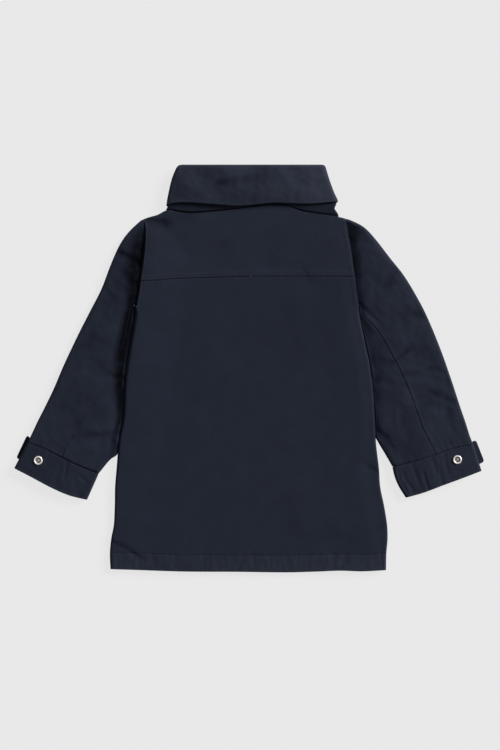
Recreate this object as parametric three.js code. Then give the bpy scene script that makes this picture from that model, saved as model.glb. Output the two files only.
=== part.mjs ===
// A child's parka laid flat on its front, seen from the back. Millimetres, +Z up.
// X runs across the back, +Y runs from the hem to the collar, and the cloth rests on z = 0.
// Every piece of cloth is a closed wall. Its upper layer lies on its lower layer, and sewn pieces
// stand one seam gap apart.
import * as THREE from 'three';

// Driving dimensions
const WALL = 3;                  // shell cloth, its lining and the thin filling between them
const SEAM_GAP = 0.3;            // clearance between two pieces that are sewn together
const FOLD_AIR = 0.5;            // least air between the two layers of a flattened tube
const BODY_HEIGHT = 7.6;         // both layers of the body, away from its side edges
const NECK_HEIGHT = 9.8;         // both layers at the neck seam, over the front of the collar
const NECK_RISE = { startY: 180, endY: 210, fullX: 122, endX: 152 };  // where the body rises to it
const RIM_REACH = 42;            // how far the raised side edge of the body fades inwards
const RIM_FLAT = 6;              // width of the side edge that keeps its full height
const LAP_ROUND = 1.2;           // rounding of a panel edge that lies on the sleeve
const LAP = 3;                   // how far the sleeve's top layer runs in under the back panel
const LAP_AIR = 0.35;            // between the sleeve's two layers there
const HEM_DEPTH = 25;            // turned hem, from its edge to its line of stitches
const HEM_GROOVE = 0.6;          // how deep the stitches pull the hem in
const GROOVE_HALF = 3;           // half the width of that groove
const HEM_ROUND = 1;             // rounding of the lower edge
const YOKE_LAP = 5;              // seam allowance pressed up under the yoke
const YOKE_STEP = 0.5;           // how much that allowance lifts the yoke's lower edge
const ARMHOLE_TOP_Y = 224;       // the armhole's upper end, at the shoulder
const ARMHOLE_END_Y = 92;        // its lower end, where the side seam starts
const ARMHOLE_FADE = 14;         // length over which the lapped edge turns into the side seam
const SLEEVE_END_HEIGHT = 8.6;   // both layers of the sleeve at the cuff seam
const EDGE_SHARE = 0.75;         // how near the sleeve's edges come to that height, against its crest
const CUFF_HEIGHT = 9.2;         // both layers of the cuff
const TAB_WALL = 2;              // the strap on the cuff's front side
const TAB_ROUND = 0.4;           // rounding of the strap's edges
// Where the sleeve rises to the strap: shares of its length, and shares of its width
const TAB_RISE = { start: 0.82, end: 0.985, inside: 0.62, gone: 0.9 };
const COLLAR_HEIGHT = 14.6;      // fall, stand, stand and fall on one another
const FALL_ROUND = 0.8;          // rounding of the fall's lower edge
const FALL_SWELL = 1.1;          // how far the back of the fall stands off the stand
const COLLAR_TOP_Y = 304.8;      // the fold along the top of the collar
const COLLAR_LIP = 6.3;          // how deep the fold of the fall reaches over the stand
const COLLAR_FRONT_DROP = 5;     // the front half of the collar lies this much lower
const SIDE_CLEAR = 0.9;          // between fall and stand, at the sides
const FALL_FRONT_POINT = 22;     // how much longer the fall is at the centre front
const FALL_FRONT_GAP = 10;       // between the two ends of the fall, at the centre front
const STAND_SHORT = 1.6;         // the stand ends this far inside the fold of the fall
const STAND_FRONT_GAP = 1;       // between the two ends of the stand
const FRONT_NECK_DROP = 26;      // depth of the front neckline below the back one
const CENTRE_X = 2;              // the centre line of the garment as it lies
const SNAP_RADIUS = 7;           // ring snap on the cuff
const SNAP_RING_WIDTH = 2.9;
const SNAP_RING_HEIGHT = 1.5;
const SNAP_CROWN = 0.9;          // half the width of the ring's rounded crown
const SNAP_STUD_RADIUS = 1.8;
const SNAP_STUD_HEIGHT = 1.3;

// Side edges of the body, from the hem to the shoulder. x of the left and the right edge, and the
// height of both layers there. The left edge lies higher, on the folds of its sleeve.
const BODY_SECTIONS = [
  { y: -306, left: -207.6, right: 204.5, leftRim: 8.0, rightRim: 8.0 },
  { y: -278, left: -208.6, right: 204.6, leftRim: 8.0, rightRim: 8.0 },
  { y: -256, left: -206.6, right: 206.6, leftRim: 8.2, rightRim: 8.2 },
  { y: -235, left: -202.7, right: 206.3, leftRim: 8.2, rightRim: 8.2 },
  { y: -206, left: -201.4, right: 201.8, leftRim: 8.2, rightRim: 8.2 },
  { y: -178, left: -200.6, right: 196.0, leftRim: 8.4, rightRim: 8.4 },
  { y: -150, left: -198.4, right: 194.2, leftRim: 8.6, rightRim: 8.6 },
  { y: -110, left: -195.9, right: 189.6, leftRim: 9.2, rightRim: 8.8 },
  { y: -73, left: -189.2, right: 188.4, leftRim: 9.6, rightRim: 9.0 },
  { y: -33, left: -187.6, right: 185.6, leftRim: 9.6, rightRim: 9.2 },
  { y: 0, left: -184.6, right: 181.6, leftRim: 9.6, rightRim: 9.4 },
  { y: 38, left: -178.4, right: 173.8, leftRim: 9.6, rightRim: 9.6 },
  { y: 70, left: -173.0, right: 166.8, leftRim: 9.6, rightRim: 9.6 },
  { y: 97, left: -168.0, right: 162.0, leftRim: 9.7, rightRim: 9.7 },
  { y: 117, left: -164.4, right: 159.6, leftRim: 9.7, rightRim: 9.7 },
  { y: 137, left: -161.8, right: 156.8, leftRim: 9.7, rightRim: 9.7 },
  { y: 160, left: -158.4, right: 153.4, leftRim: 9.7, rightRim: 9.7 },
  { y: 177, left: -156.6, right: 151.2, leftRim: 9.7, rightRim: 9.7 },
  { y: 192, left: -155.6, right: 148.4, leftRim: 9.7, rightRim: 9.7 },
  { y: 207, left: -155.6, right: 145.6, leftRim: 9.7, rightRim: 9.7 },
  { y: 224, left: -158.2, right: 143.4, leftRim: 9.7, rightRim: 9.7 },
];

// Lines across the body: y at stations of x
const HEM_LINE = [
  { x: -209, y: -300.6 }, { x: -172, y: -302.0 }, { x: -100, y: -304.7 }, { x: -14, y: -305.1 },
  { x: 54, y: -306.0 }, { x: 98, y: -304.4 }, { x: 136, y: -302.9 }, { x: 168, y: -303.7 },
  { x: 206, y: -301.9 },
];
const YOKE_LINE = [
  { x: -164, y: 131.3 }, { x: -136, y: 131.9 }, { x: -118, y: 133.8 }, { x: -76, y: 135.4 },
  { x: -10, y: 137.5 }, { x: 56, y: 138.0 }, { x: 159, y: 137.6 },
];
const NECK_LINE = [
  { x: -159, y: 222.9 }, { x: -150, y: 226.2 }, { x: -138, y: 230.0 }, { x: -124, y: 236.6 },
  { x: -106, y: 233.6 }, { x: -88, y: 231.6 }, { x: -55, y: 234.2 }, { x: -10, y: 239.5 },
  { x: 8, y: 242.6 }, { x: 32, y: 245.8 }, { x: 56, y: 243.0 }, { x: 77, y: 235.2 },
  { x: 100, y: 230.6 }, { x: 133, y: 226.8 }, { x: 139, y: 225.6 }, { x: 145, y: 224.0 },
];
const NECK_LEFT_X = -125;
const NECK_RIGHT_X = 133.6;

// Side edges of the collar, and the lower edge of its fall across the back
const COLLAR_SECTIONS = [
  { y: 226, left: -125.4, right: 134.0 },
  { y: 238, left: -125.1, right: 129.4 },
  { y: 249, left: -124.0, right: 132.8 },
  { y: 262, left: -121.6, right: 127.4 },
  { y: 281, left: -116.8, right: 120.2 },
  { y: 296, left: -110.0, right: 115.4 },
  { y: 306, left: -104.6, right: 112.0 },
];
const FALL_LINE = [
  { x: -126, y: 242.4 }, { x: -114, y: 246.8 }, { x: -90, y: 247.6 }, { x: -65, y: 245.8 },
  { x: -41, y: 244.1 }, { x: -21, y: 242.6 }, { x: 12, y: 244.7 }, { x: 34, y: 247.0 },
  { x: 89, y: 245.8 }, { x: 131, y: 249.1 },
];

// Cross-sections of the sleeves, from the shoulder to the cuff. x and y are on the outer edge. The
// inner edge lies beside the body's edge at innerY, away from it. crest is the height in the
// middle of the section, dip the depth of the valley beside the body's edge, and dipWidth its
// width. seam is the place of the elbow seam, as a share of the way from the outer edge. It leaves
// the body where the armhole ends.
const SLEEVE_SECTIONS = {
  left: [
    { x: -162.0, y: 220.3, innerY: 210.0, away: 0.8, crest: 8.0, dip: 0.4, dipWidth: 8, seam: 1 },
    { x: -182.1, y: 200.3, innerY: 183.2, away: 0.8, crest: 9.2, dip: 1.6, dipWidth: 12, seam: 1 },
    { x: -195.0, y: 181.7, innerY: 159.2, away: 0.8, crest: 9.5, dip: 2.4, dipWidth: 16, seam: 1 },
    { x: -208.5, y: 153.2, innerY: 130.7, away: 0.8, crest: 9.6, dip: 2.8, dipWidth: 20, seam: 1 },
    { x: -221.4, y: 117.7, innerY: 92.0, away: 0.8, crest: 9.7, dip: 2.8, dipWidth: 20, seam: 1 },
    { x: -236.4, y: 84.7, innerY: 61.7, away: 0.8, crest: 9.7, dip: 2.8, dipWidth: 20, seam: 0.92 },
    { x: -252.6, y: 50.9, innerY: 28.7, away: 0.8, crest: 9.7, dip: 2.8, dipWidth: 19, seam: 0.87 },
    { x: -272.9, y: 5.0, innerY: -20.8, away: 0.8, crest: 9.7, dip: 2.6, dipWidth: 18, seam: 0.76 },
    { x: -293.5, y: -32.0, innerY: -74.8, away: 1.3, crest: 9.7, dip: 2.2, dipWidth: 18, seam: 0.562 },
    { x: -306.8, y: -59.8, innerY: -98.8, away: 1.5, crest: 9.6, dip: 1.6, dipWidth: 18, seam: 0.508 },
    { x: -316.5, y: -80.8, innerY: -123.0, away: 2.4, crest: 9.4, dip: 1.0, dipWidth: 18, seam: 0.457 },
    { x: -324.8, y: -98.0, innerY: -140.8, away: 16.6, crest: 9.0, dip: 0.4, dipWidth: 18, seam: 0.462 },
    { x: -331.5, y: -110.3, innerY: -157.7, away: 29.6, crest: 8.6, dip: 0, dipWidth: 18, seam: 0.5 },
  ],
  right: [
    { x: 150.0, y: 222.4, innerY: 212.6, away: 0.8, crest: 8.0, dip: 0.4, dipWidth: 8, seam: 1 },
    { x: 170.1, y: 212.0, innerY: 198.2, away: 0.8, crest: 9.2, dip: 1.6, dipWidth: 9, seam: 1 },
    { x: 186.5, y: 195.8, innerY: 181.7, away: 0.8, crest: 9.5, dip: 2.2, dipWidth: 10, seam: 1 },
    { x: 210.3, y: 165.2, innerY: 153.2, away: 0.8, crest: 9.7, dip: 2.4, dipWidth: 12, seam: 1 },
    { x: 232.3, y: 137.5, innerY: 123.2, away: 0.8, crest: 9.7, dip: 2.4, dipWidth: 13, seam: 1 },
    { x: 251.2, y: 97.7, innerY: 92.0, away: 0.8, crest: 9.7, dip: 2.4, dipWidth: 13, seam: 1 },
    { x: 266.2, y: 69.2, innerY: 57.2, away: 0.8, crest: 9.7, dip: 2.2, dipWidth: 12, seam: 0.77 },
    { x: 282.8, y: 24.2, innerY: 1.7, away: 0.8, crest: 9.7, dip: 1.6, dipWidth: 12, seam: 0.612 },
    { x: 298.5, y: -19.3, innerY: -44.8, away: 0.8, crest: 9.7, dip: 1.4, dipWidth: 12, seam: 0.509 },
    { x: 315.8, y: -62.8, innerY: -85.3, away: 0.8, crest: 9.6, dip: 1.2, dipWidth: 12, seam: 0.454 },
    { x: 324.8, y: -86.8, innerY: -110.8, away: 2.2, crest: 9.4, dip: 1.2, dipWidth: 14, seam: 0.443 },
    { x: 330.8, y: -103.3, innerY: -128.0, away: 11.6, crest: 9.0, dip: 0.6, dipWidth: 14, seam: 0.444 },
    { x: 334.8, y: -114.3, innerY: -150.4, away: 22.6, crest: 8.6, dip: 0, dipWidth: 14, seam: 0.464 },
  ],
};

const FRONT_SEAM_ACROSS = 0.66;  // the second seam of the sleeve, on the side that lies down

// Cuffs, at stations from the outer to the inner edge: the seam line and the free end
const CUFF_STATIONS = {
  left: [
    { seamX: -331.5, seamY: -110.5, endX: -351.2, endY: -148.7 },
    { seamX: -306.8, seamY: -120.7, endX: -324.8, endY: -162.5 },
    { seamX: -281.2, seamY: -133.9, endX: -296.2, endY: -177.7 },
    { seamX: -255.8, seamY: -146.8, endX: -269.2, endY: -189.5 },
    { seamX: -228.3, seamY: -158.0, endX: -244.8, endY: -195.8 },
  ],
  right: [
    { seamX: 334.8, seamY: -114.5, endX: 346.8, endY: -153.1 },
    { seamX: 308.2, seamY: -119.8, endX: 318.8, endY: -164.2 },
    { seamX: 281.2, seamY: -129.2, endX: 290.2, endY: -174.8 },
    { seamX: 249.8, seamY: -141.1, endX: 261.8, endY: -185.8 },
    { seamX: 216.8, seamY: -150.7, endX: 234.8, endY: -193.0 },
  ],
};
const TAB_OUTLINES = {
  left: [
    { x: -333.8, y: -101.4 }, { x: -348.9, y: -133.6 }, { x: -346.6, y: -136.2 },
    { x: -305.0, y: -155.4 }, { x: -290.6, y: -126.2 }, { x: -329.4, y: -108.6 },
    { x: -330.2, y: -103.2 },
  ],
  right: [
    { x: 339.6, y: -108.8 }, { x: 351.6, y: -139.4 }, { x: 347.2, y: -142.6 },
    { x: 303.0, y: -157.0 }, { x: 291.4, y: -124.8 }, { x: 332.6, y: -112.2 },
    { x: 335.4, y: -109.6 },
  ],
};
const SNAP_PLACES = {
  left: { x: -316.5, y: -138.5 },
  right: { x: 312.0, y: -137.3 },
};

// The largest folds of the upper layer, each along a line. height is negative for a trough.
const FOLDS = [
  { on: 'body', x1: -146, y1: 222, x2: -124, y2: 212, width: 8, height: -0.9 },
  { on: 'sleeve', x1: -190, y1: 171, x2: -168, y2: 158, width: 7, height: -1.5 },
  { on: 'sleeve', x1: -252, y1: 10, x2: -206, y2: -40, width: 13, height: -1.0 },
  { on: 'sleeve', x1: -255, y1: -100, x2: -206, y2: -106, width: 9, height: -1.2 },
  { on: 'sleeve', x1: 162, y1: 199, x2: 176, y2: 186, width: 8, height: -1.0 },
  { on: 'sleeve', x1: 222, y1: 128, x2: 236, y2: 104, width: 9, height: -1.1 },
  { on: 'sleeve', x1: 230, y1: 0, x2: 286, y2: -10, width: 9, height: -1.1 },
  { on: 'sleeve', x1: 258, y1: -36, x2: 294, y2: -44, width: 8, height: -0.9 },
  { on: 'sleeve', x1: 192, y1: -96, x2: 214, y2: -112, width: 8, height: -1.1 },
  { on: 'collar', x1: -40, y1: 282, x2: 2, y2: 288, width: 8, height: -0.9 },
];
const FOLD_END = 12;             // length over which a fold fades at its ends

// How finely the walls are divided
const ARC_STEPS = 3;
const YOKE_ROWS = 5;
const SLEEVE_ROWS = 18;
const SLEEVE_TOP_STEPS = 7;
const UNDER_SLEEVE_STEPS = 3;
const SLEEVE_BOTTOM_STEPS = 2;
const CUFF_ROWS = 3;
const CUFF_STEPS = 8;
const COLLAR_TOP_STEPS = 12;
const COLLAR_FRONT_STEPS = 4;
const STAND_ROWS = 3;
const FALL_ROWS = 4;
const SNAP_SEGMENTS = 16;
const ROW_CLEAR = 0.02;          // rows of a sleeve stay this far from the end of the armhole

const FINISHES = {
  shell: new THREE.MeshStandardMaterial({ color: 0x1c2231, roughness: 0.88, metalness: 0 }),
  yoke: new THREE.MeshStandardMaterial({ color: 0x1d2332, roughness: 0.88, metalness: 0 }),
  collar: new THREE.MeshStandardMaterial({ color: 0x202636, roughness: 0.88, metalness: 0 }),
  metal: new THREE.MeshStandardMaterial({ color: 0xb9b4b0, roughness: 0.28, metalness: 1 }),
};

const { lerp, clamp, smoothstep, degToRad } = THREE.MathUtils;

// A smooth curve through a table's rows: returns the named column's value at a place in the key column
function tableCurve(rows, key, column) {
  const at = rows.map((row) => row[key]);
  const value = rows.map((row) => row[column]);
  const last = rows.length - 1;
  const slope = value.map((_, k) => {
    const before = Math.max(k - 1, 0);
    const after = Math.min(k + 1, last);
    return (value[after] - value[before]) / (at[after] - at[before]);
  });
  return (place) => {
    let k = 0;
    while (k < last - 1 && place > at[k + 1]) k += 1;
    const span = at[k + 1] - at[k];
    const t = clamp((place - at[k]) / span, 0, 1);
    const rise = 3 * t * t - 2 * t * t * t;
    const leave = t * (1 - t) * (1 - t);
    const arrive = t * t * (1 - t);
    return lerp(value[k], value[k + 1], rise) + span * (slope[k] * leave - slope[k + 1] * arrive);
  };
}

const leftEdge = tableCurve(BODY_SECTIONS, 'y', 'left');
const rightEdge = tableCurve(BODY_SECTIONS, 'y', 'right');
const leftRim = tableCurve(BODY_SECTIONS, 'y', 'leftRim');
const rightRim = tableCurve(BODY_SECTIONS, 'y', 'rightRim');
const hemLine = tableCurve(HEM_LINE, 'x', 'y');
const yokeLine = tableCurve(YOKE_LINE, 'x', 'y');
const neckLine = tableCurve(NECK_LINE, 'x', 'y');
const fallLine = tableCurve(FALL_LINE, 'x', 'y');
const collarLeft = tableCurve(COLLAR_SECTIONS, 'y', 'left');
const collarRight = tableCurve(COLLAR_SECTIONS, 'y', 'right');

// Sum of the heights of a piece's folds at a point of its upper layer
function foldHeight(on, x, y) {
  let sum = 0;
  for (const fold of FOLDS.filter((row) => row.on === on)) {
    const lengthX = fold.x2 - fold.x1;
    const lengthY = fold.y2 - fold.y1;
    const length = Math.hypot(lengthX, lengthY);
    const along = ((x - fold.x1) * lengthX + (y - fold.y1) * lengthY) / length;
    const aside = ((x - fold.x1) * lengthY - (y - fold.y1) * lengthX) / length;
    const past = Math.max(-along, along - length, 0);
    sum += fold.height * Math.exp(-((aside / fold.width) ** 2) - (past / FOLD_END) ** 2);
  }
  return sum;
}

// A closed wall between an outer and an inner grid of points. A ring joins its last column to its first.
function closedWall(outer, inner, ring = false) {
  const rows = outer.length;
  const columns = outer[0].length;
  const positions = [...outer, ...inner].flat(2);
  const index = [];
  const at = (side, row, column) => side * rows * columns + row * columns + (column % columns);
  const quad = (a, b, c, d) => index.push(a, b, c, a, c, d);
  const lastColumn = ring ? columns : columns - 1;
  for (let row = 0; row < rows - 1; row += 1) {
    for (let column = 0; column < lastColumn; column += 1) {
      quad(at(0, row, column), at(0, row, column + 1), at(0, row + 1, column + 1), at(0, row + 1, column));
      quad(at(1, row, column), at(1, row + 1, column), at(1, row + 1, column + 1), at(1, row, column + 1));
    }
    if (!ring) {
      quad(at(0, row, 0), at(0, row + 1, 0), at(1, row + 1, 0), at(1, row, 0));
      const end = columns - 1;
      quad(at(0, row + 1, end), at(0, row, end), at(1, row, end), at(1, row + 1, end));
    }
  }
  for (let column = 0; column < lastColumn; column += 1) {
    const top = rows - 1;
    quad(at(0, 0, column + 1), at(0, 0, column), at(1, 0, column), at(1, 0, column + 1));
    quad(at(0, top, column), at(0, top, column + 1), at(1, top, column + 1), at(1, top, column));
  }
  const geometry = new THREE.BufferGeometry();
  geometry.setAttribute('position', new THREE.Float32BufferAttribute(positions, 3));
  geometry.setIndex(enclosedVolume(positions, index) > 0 ? index : index.reverse());
  geometry.computeVertexNormals();
  return geometry;
}

function enclosedVolume(positions, index) {
  const corner = (k) => new THREE.Vector3().fromArray(positions, 3 * index[k]);
  let volume = 0;
  for (let k = 0; k < index.length; k += 3) {
    volume += corner(k).dot(corner(k + 1).cross(corner(k + 2))) / 6;
  }
  return volume;
}

// Stations 0 to 1 in equal steps
function steps(count) {
  return Array.from({ length: count + 1 }, (_, k) => k / count);
}

// Body

// Height of both layers of the body, with the raised side edges and the folds
function bodyHeight(x, y) {
  const fromLeft = Math.max(x - leftEdge(y) - RIM_FLAT, 0);
  const fromRight = Math.max(rightEdge(y) - x - RIM_FLAT, 0);
  const left = (leftRim(y) - BODY_HEIGHT) * (1 - smoothstep(fromLeft, 0, RIM_REACH));
  const right = (rightRim(y) - BODY_HEIGHT) * (1 - smoothstep(fromRight, 0, RIM_REACH));
  const aside = 1 - smoothstep(Math.abs(x - CENTRE_X), NECK_RISE.fullX, NECK_RISE.endX);
  const neck = (NECK_HEIGHT - BODY_HEIGHT) * smoothstep(y, NECK_RISE.startY, NECK_RISE.endY) * aside;
  const raised = Math.max(left, right, neck);
  return Math.max(BODY_HEIGHT + raised + foldHeight('body', x, y), 2 * WALL + FOLD_AIR);
}

// 1 where the side of the body is a fold with a seam, 0 where the panel's edge lies on the sleeve
function sideFold(y) {
  return 1 - smoothstep(y, ARMHOLE_END_Y - ARMHOLE_FADE, ARMHOLE_END_Y);
}

// 1 on the shoulders, where the yoke turns down to the fronts, 0 along the neck seam
function shoulderFold(x) {
  return x < NECK_LEFT_X || x > NECK_RIGHT_X ? 1 : 0;
}

// How far an edge point lies inside the panel's edge and below its face. turn is 0 at the seam
// and 90 degrees where the edge has become flat.
function edgeRound(turn, radius, fold, isOuter) {
  const across = 1 - Math.cos(turn);
  const down = 1 - Math.sin(turn);
  if (isOuter) {
    return {
      inside: lerp(LAP_ROUND * across, radius * across, fold),
      share: 1 - lerp(LAP_ROUND * down, radius * down, fold) / radius,
    };
  }
  const small = radius - WALL;
  return {
    inside: lerp(LAP_ROUND * across, radius - small * Math.cos(turn), fold),
    share: 1 - fold * down,
  };
}

// Columns and rows of a body panel: edge ones have a turn, the others a share of the way across
function turnsThen(shares, atStart, atEnd) {
  const turns = steps(ARC_STEPS).map((step) => step * Math.PI / 2);
  return [
    ...(atStart ? turns.map((turn) => ({ edge: -1, turn, share: 0 })) : []),
    ...shares.map((share) => ({ edge: 0, turn: Math.PI / 2, share })),
    ...(atEnd ? turns.reverse().map((turn) => ({ edge: 1, turn, share: 1 })) : []),
  ];
}

// One point of a body panel. lower and upper bound it in y, from and to across. side is 1 for the
// back and the yoke, and -1 for the fronts, which lie down.
function bodyPoint({ column, row, lower, upper, side, isOuter, from, to }) {
  let x = lerp(-150, 150, column.share);
  let y = 0;
  let across = { inside: 0, share: 1 };
  let along = { inside: 0, share: 1 };
  for (let pass = 0; pass < 6; pass += 1) {
    const radius = bodyHeight(x, y) / 2;
    along = row.edge === 1 ? edgeRound(row.turn, radius, shoulderFold(x), isOuter) : along;
    const top = upper(x) - (row.edge === 1 ? along.inside : 0);
    y = row.edge === 1 ? top : lerp(lower(x), upper(x), row.share) + (row.offset ?? 0);
    y = Math.min(y, upper(x));
    if (column.edge === 0) {
      x = lerp(from(y), to(y), column.share);
    } else {
      across = edgeRound(column.turn, radius, sideFold(y), isOuter);
      x = column.edge < 0 ? leftEdge(y) + across.inside : rightEdge(y) - across.inside;
    }
  }
  const height = bodyHeight(x, y);
  const middle = height / 2;
  const reach = middle - SEAM_GAP / 2;
  const share = across.share * along.share;
  const lift = isOuter ? reach * share : (reach - WALL) * share;
  const raised = isOuter ? (row.relief ?? 0) * Math.sin(column.turn) ** 2 : 0;
  return [x, y, middle + side * (SEAM_GAP / 2 + lift + raised)];
}

function bodyPanel(name, finish, { columns, rows, ...shape }) {
  const grid = (isOuter) => rows.map((row) =>
    columns.map((column) => bodyPoint({ column, row, isOuter, ...shape })));
  return namedMesh(name, closedWall(grid(true), grid(false)), finish);
}

function namedMesh(name, geometry, finish) {
  const mesh = new THREE.Mesh(geometry, finish);
  mesh.name = name;
  return mesh;
}

const insideLeft = (y) => leftEdge(y) + RIM_FLAT;
const insideRight = (y) => rightEdge(y) - RIM_FLAT;

// Stations of x along the neck seam. The body's panels and the collar's stand share them.
function neckStations(count) {
  const half = NECK_HEIGHT / 2;
  return steps(count).map((share) => lerp(NECK_LEFT_X + half, NECK_RIGHT_X - half, share));
}

// Columns of the back and the yoke, as shares of the way between their inner side lines: one
// station beside each end of the neck seam, and the seam's own stations between them
function backColumns() {
  const left = insideLeft(ARMHOLE_TOP_Y);
  const right = insideRight(ARMHOLE_TOP_Y);
  const stations = [NECK_LEFT_X, ...neckStations(COLLAR_TOP_STEPS), NECK_RIGHT_X];
  return [0, ...stations.map((x) => (x - left) / (right - left)), 1];
}

function frontColumns(isLeft) {
  const left = isLeft ? insideLeft(ARMHOLE_TOP_Y) : CENTRE_X;
  const right = isLeft ? CENTRE_X : insideRight(ARMHOLE_TOP_Y);
  const ends = steps(COLLAR_FRONT_STEPS).map((share) => frontStation(isLeft, share));
  const stations = isLeft ? [NECK_LEFT_X, ...ends] : [...ends.reverse(), NECK_RIGHT_X];
  const shares = stations.map((x) => clamp((x - left) / (right - left), 0, 1));
  return isLeft ? [0, ...shares] : [...shares, 1];
}

// x of the stations of the front half of the neck seam, from a side to the centre front
function frontStation(isLeft, share) {
  const half = NECK_HEIGHT / 2;
  const side = isLeft ? NECK_LEFT_X + half : NECK_RIGHT_X - half;
  return lerp(side, CENTRE_X, share);
}

// Rows of a body panel up to topY: the body's sections, and three across the end of the armhole
function sectionRows(fromY, topY) {
  const hemY = HEM_LINE[0].y;
  const fade = [ARMHOLE_END_Y - ARMHOLE_FADE, ARMHOLE_END_Y - ARMHOLE_FADE / 2, ARMHOLE_END_Y];
  const sections = BODY_SECTIONS.map((row) => row.y).filter((y) => y > fromY && y < topY - 5);
  return [...sections, ...fade].sort((a, b) => a - b)
    .map((y) => ({ edge: 0, share: (y - hemY) / (topY - hemY) }));
}

function makeBack() {
  const hemRows = [
    { edge: 0, share: 0, relief: -HEM_ROUND },
    { edge: 0, share: 0, offset: 2 * HEM_ROUND },
    { edge: 0, share: 0, offset: HEM_DEPTH - GROOVE_HALF },
    { edge: 0, share: 0, offset: HEM_DEPTH, relief: -HEM_GROOVE },
    { edge: 0, share: 0, offset: HEM_DEPTH + GROOVE_HALF },
  ];
  const topRow = { edge: 0, share: 1 };
  return bodyPanel('back', FINISHES.shell, {
    columns: turnsThen(backColumns(), true, true),
    rows: [...hemRows, ...sectionRows(HEM_LINE[0].y + 1.5 * HEM_DEPTH, YOKE_LINE[0].y), topRow],
    lower: hemLine,
    upper: (x) => yokeLine(x) - SEAM_GAP / 2,
    side: 1,
    from: insideLeft,
    to: insideRight,
  });
}

function makeYoke() {
  const seamRows = [
    { edge: 0, share: 0, relief: YOKE_STEP / 2 },
    { edge: 0, share: 0, offset: 1, relief: YOKE_STEP },
    { edge: 0, share: 0, offset: YOKE_LAP, relief: YOKE_STEP },
    { edge: 0, share: 0, offset: YOKE_LAP + 2 },
  ];
  const middleRows = steps(YOKE_ROWS).slice(1, -1).map((share) => ({ edge: 0, share }));
  return bodyPanel('yoke', FINISHES.yoke, {
    columns: turnsThen(backColumns(), true, true),
    rows: [...seamRows, ...middleRows, ...turnsThen([], false, true)],
    lower: (x) => yokeLine(x) + SEAM_GAP / 2,
    upper: neckLine,
    side: 1,
    from: insideLeft,
    to: insideRight,
  });
}

// The neckline at the front: lower than at the back, between the ends of the shoulders
function frontNeckLine(x) {
  const share = clamp((x - NECK_LEFT_X) / (NECK_RIGHT_X - NECK_LEFT_X), 0, 1);
  const ends = lerp(neckLine(NECK_LEFT_X), neckLine(NECK_RIGHT_X), share);
  const inNeck = x > NECK_LEFT_X && x < NECK_RIGHT_X;
  return inNeck ? ends - FRONT_NECK_DROP * Math.sin(Math.PI * share) ** 0.8 : neckLine(x);
}

function makeFront(name, isLeft) {
  const middle = CENTRE_X + (isLeft ? -1 : 1) * SEAM_GAP / 2;
  return bodyPanel(name, FINISHES.shell, {
    columns: turnsThen(frontColumns(isLeft), isLeft, !isLeft),
    rows: [
      { edge: 0, share: 0 },
      ...sectionRows(HEM_LINE[0].y + HEM_DEPTH, ARMHOLE_TOP_Y),
      ...turnsThen([], false, true),
    ],
    lower: hemLine,
    upper: frontNeckLine,
    side: -1,
    from: isLeft ? insideLeft : () => middle,
    to: isLeft ? () => middle : insideRight,
  });
}

// Sleeves

// A sleeve's plan and heights as functions of its length (0 at the shoulder, 1 at the cuff)
function sleeveShape(which) {
  const sign = which === 'left' ? -1 : 1;
  const edge = which === 'left' ? leftEdge : rightEdge;
  const rows = SLEEVE_SECTIONS[which];
  let length = 0;
  const sections = rows.map((row, k) => {
    const before = rows[Math.max(k - 1, 0)];
    length += Math.hypot(row.x - before.x, row.y - before.y);
    return { ...row, along: length, innerX: edge(row.innerY) + sign * row.away };
  });
  for (const section of sections) section.along /= length;
  const read = (column) => tableCurve(sections, 'along', column);
  return {
    which, sign, edge,
    outerX: read('x'), outerY: read('y'), innerY: read('innerY'), away: read('away'),
    crest: read('crest'), dip: read('dip'), dipWidth: read('dipWidth'), seam: read('seam'),
    seamCurve: cuffCurve(which, 'seam'),
    armholeEnd: sections.find((section) => section.innerY === ARMHOLE_END_Y).along,
    gapShare: SEAM_GAP / length,
  };
}

// The cuff's seam line or free end as a curve from the outer to the inner edge
function cuffCurve(which, line) {
  const stations = CUFF_STATIONS[which].map((row, k) =>
    ({ at: k / (CUFF_STATIONS[which].length - 1), x: row[`${line}X`], y: row[`${line}Y`] }));
  return { x: tableCurve(stations, 'at', 'x'), y: tableCurve(stations, 'at', 'y') };
}

// A point of the sleeve's plan, with the width of its section. distance is measured from the
// outer edge along the section. Towards the cuff the sections bend as the seam line does.
function sleevePlan(sleeve, along, distance) {
  const outer = { x: sleeve.outerX(along), y: sleeve.outerY(along) };
  const innerY = sleeve.innerY(along);
  const inner = { x: sleeve.edge(innerY) + sleeve.sign * sleeve.away(along), y: innerY };
  const width = Math.hypot(inner.x - outer.x, inner.y - outer.y);
  const share = distance / width;
  const bend = smoothstep(along, 0.75, 1) * (share > 0 && share < 1 ? 1 : 0);
  const seam = sleeve.seamCurve;
  const bow = (axis) => seam[axis](share) - lerp(seam[axis](0), seam[axis](1), share);
  return {
    x: lerp(outer.x, inner.x, share) + bend * bow('x'),
    y: lerp(outer.y, inner.y, share) + bend * bow('y'),
    width,
  };
}

// How high the strap on the cuff's front side lifts the layers above it
function tabLift(along, across) {
  const reach = smoothstep(along, TAB_RISE.start, TAB_RISE.end);
  return (TAB_WALL + SEAM_GAP) * reach * (1 - smoothstep(across, TAB_RISE.inside, TAB_RISE.gone));
}

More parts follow.
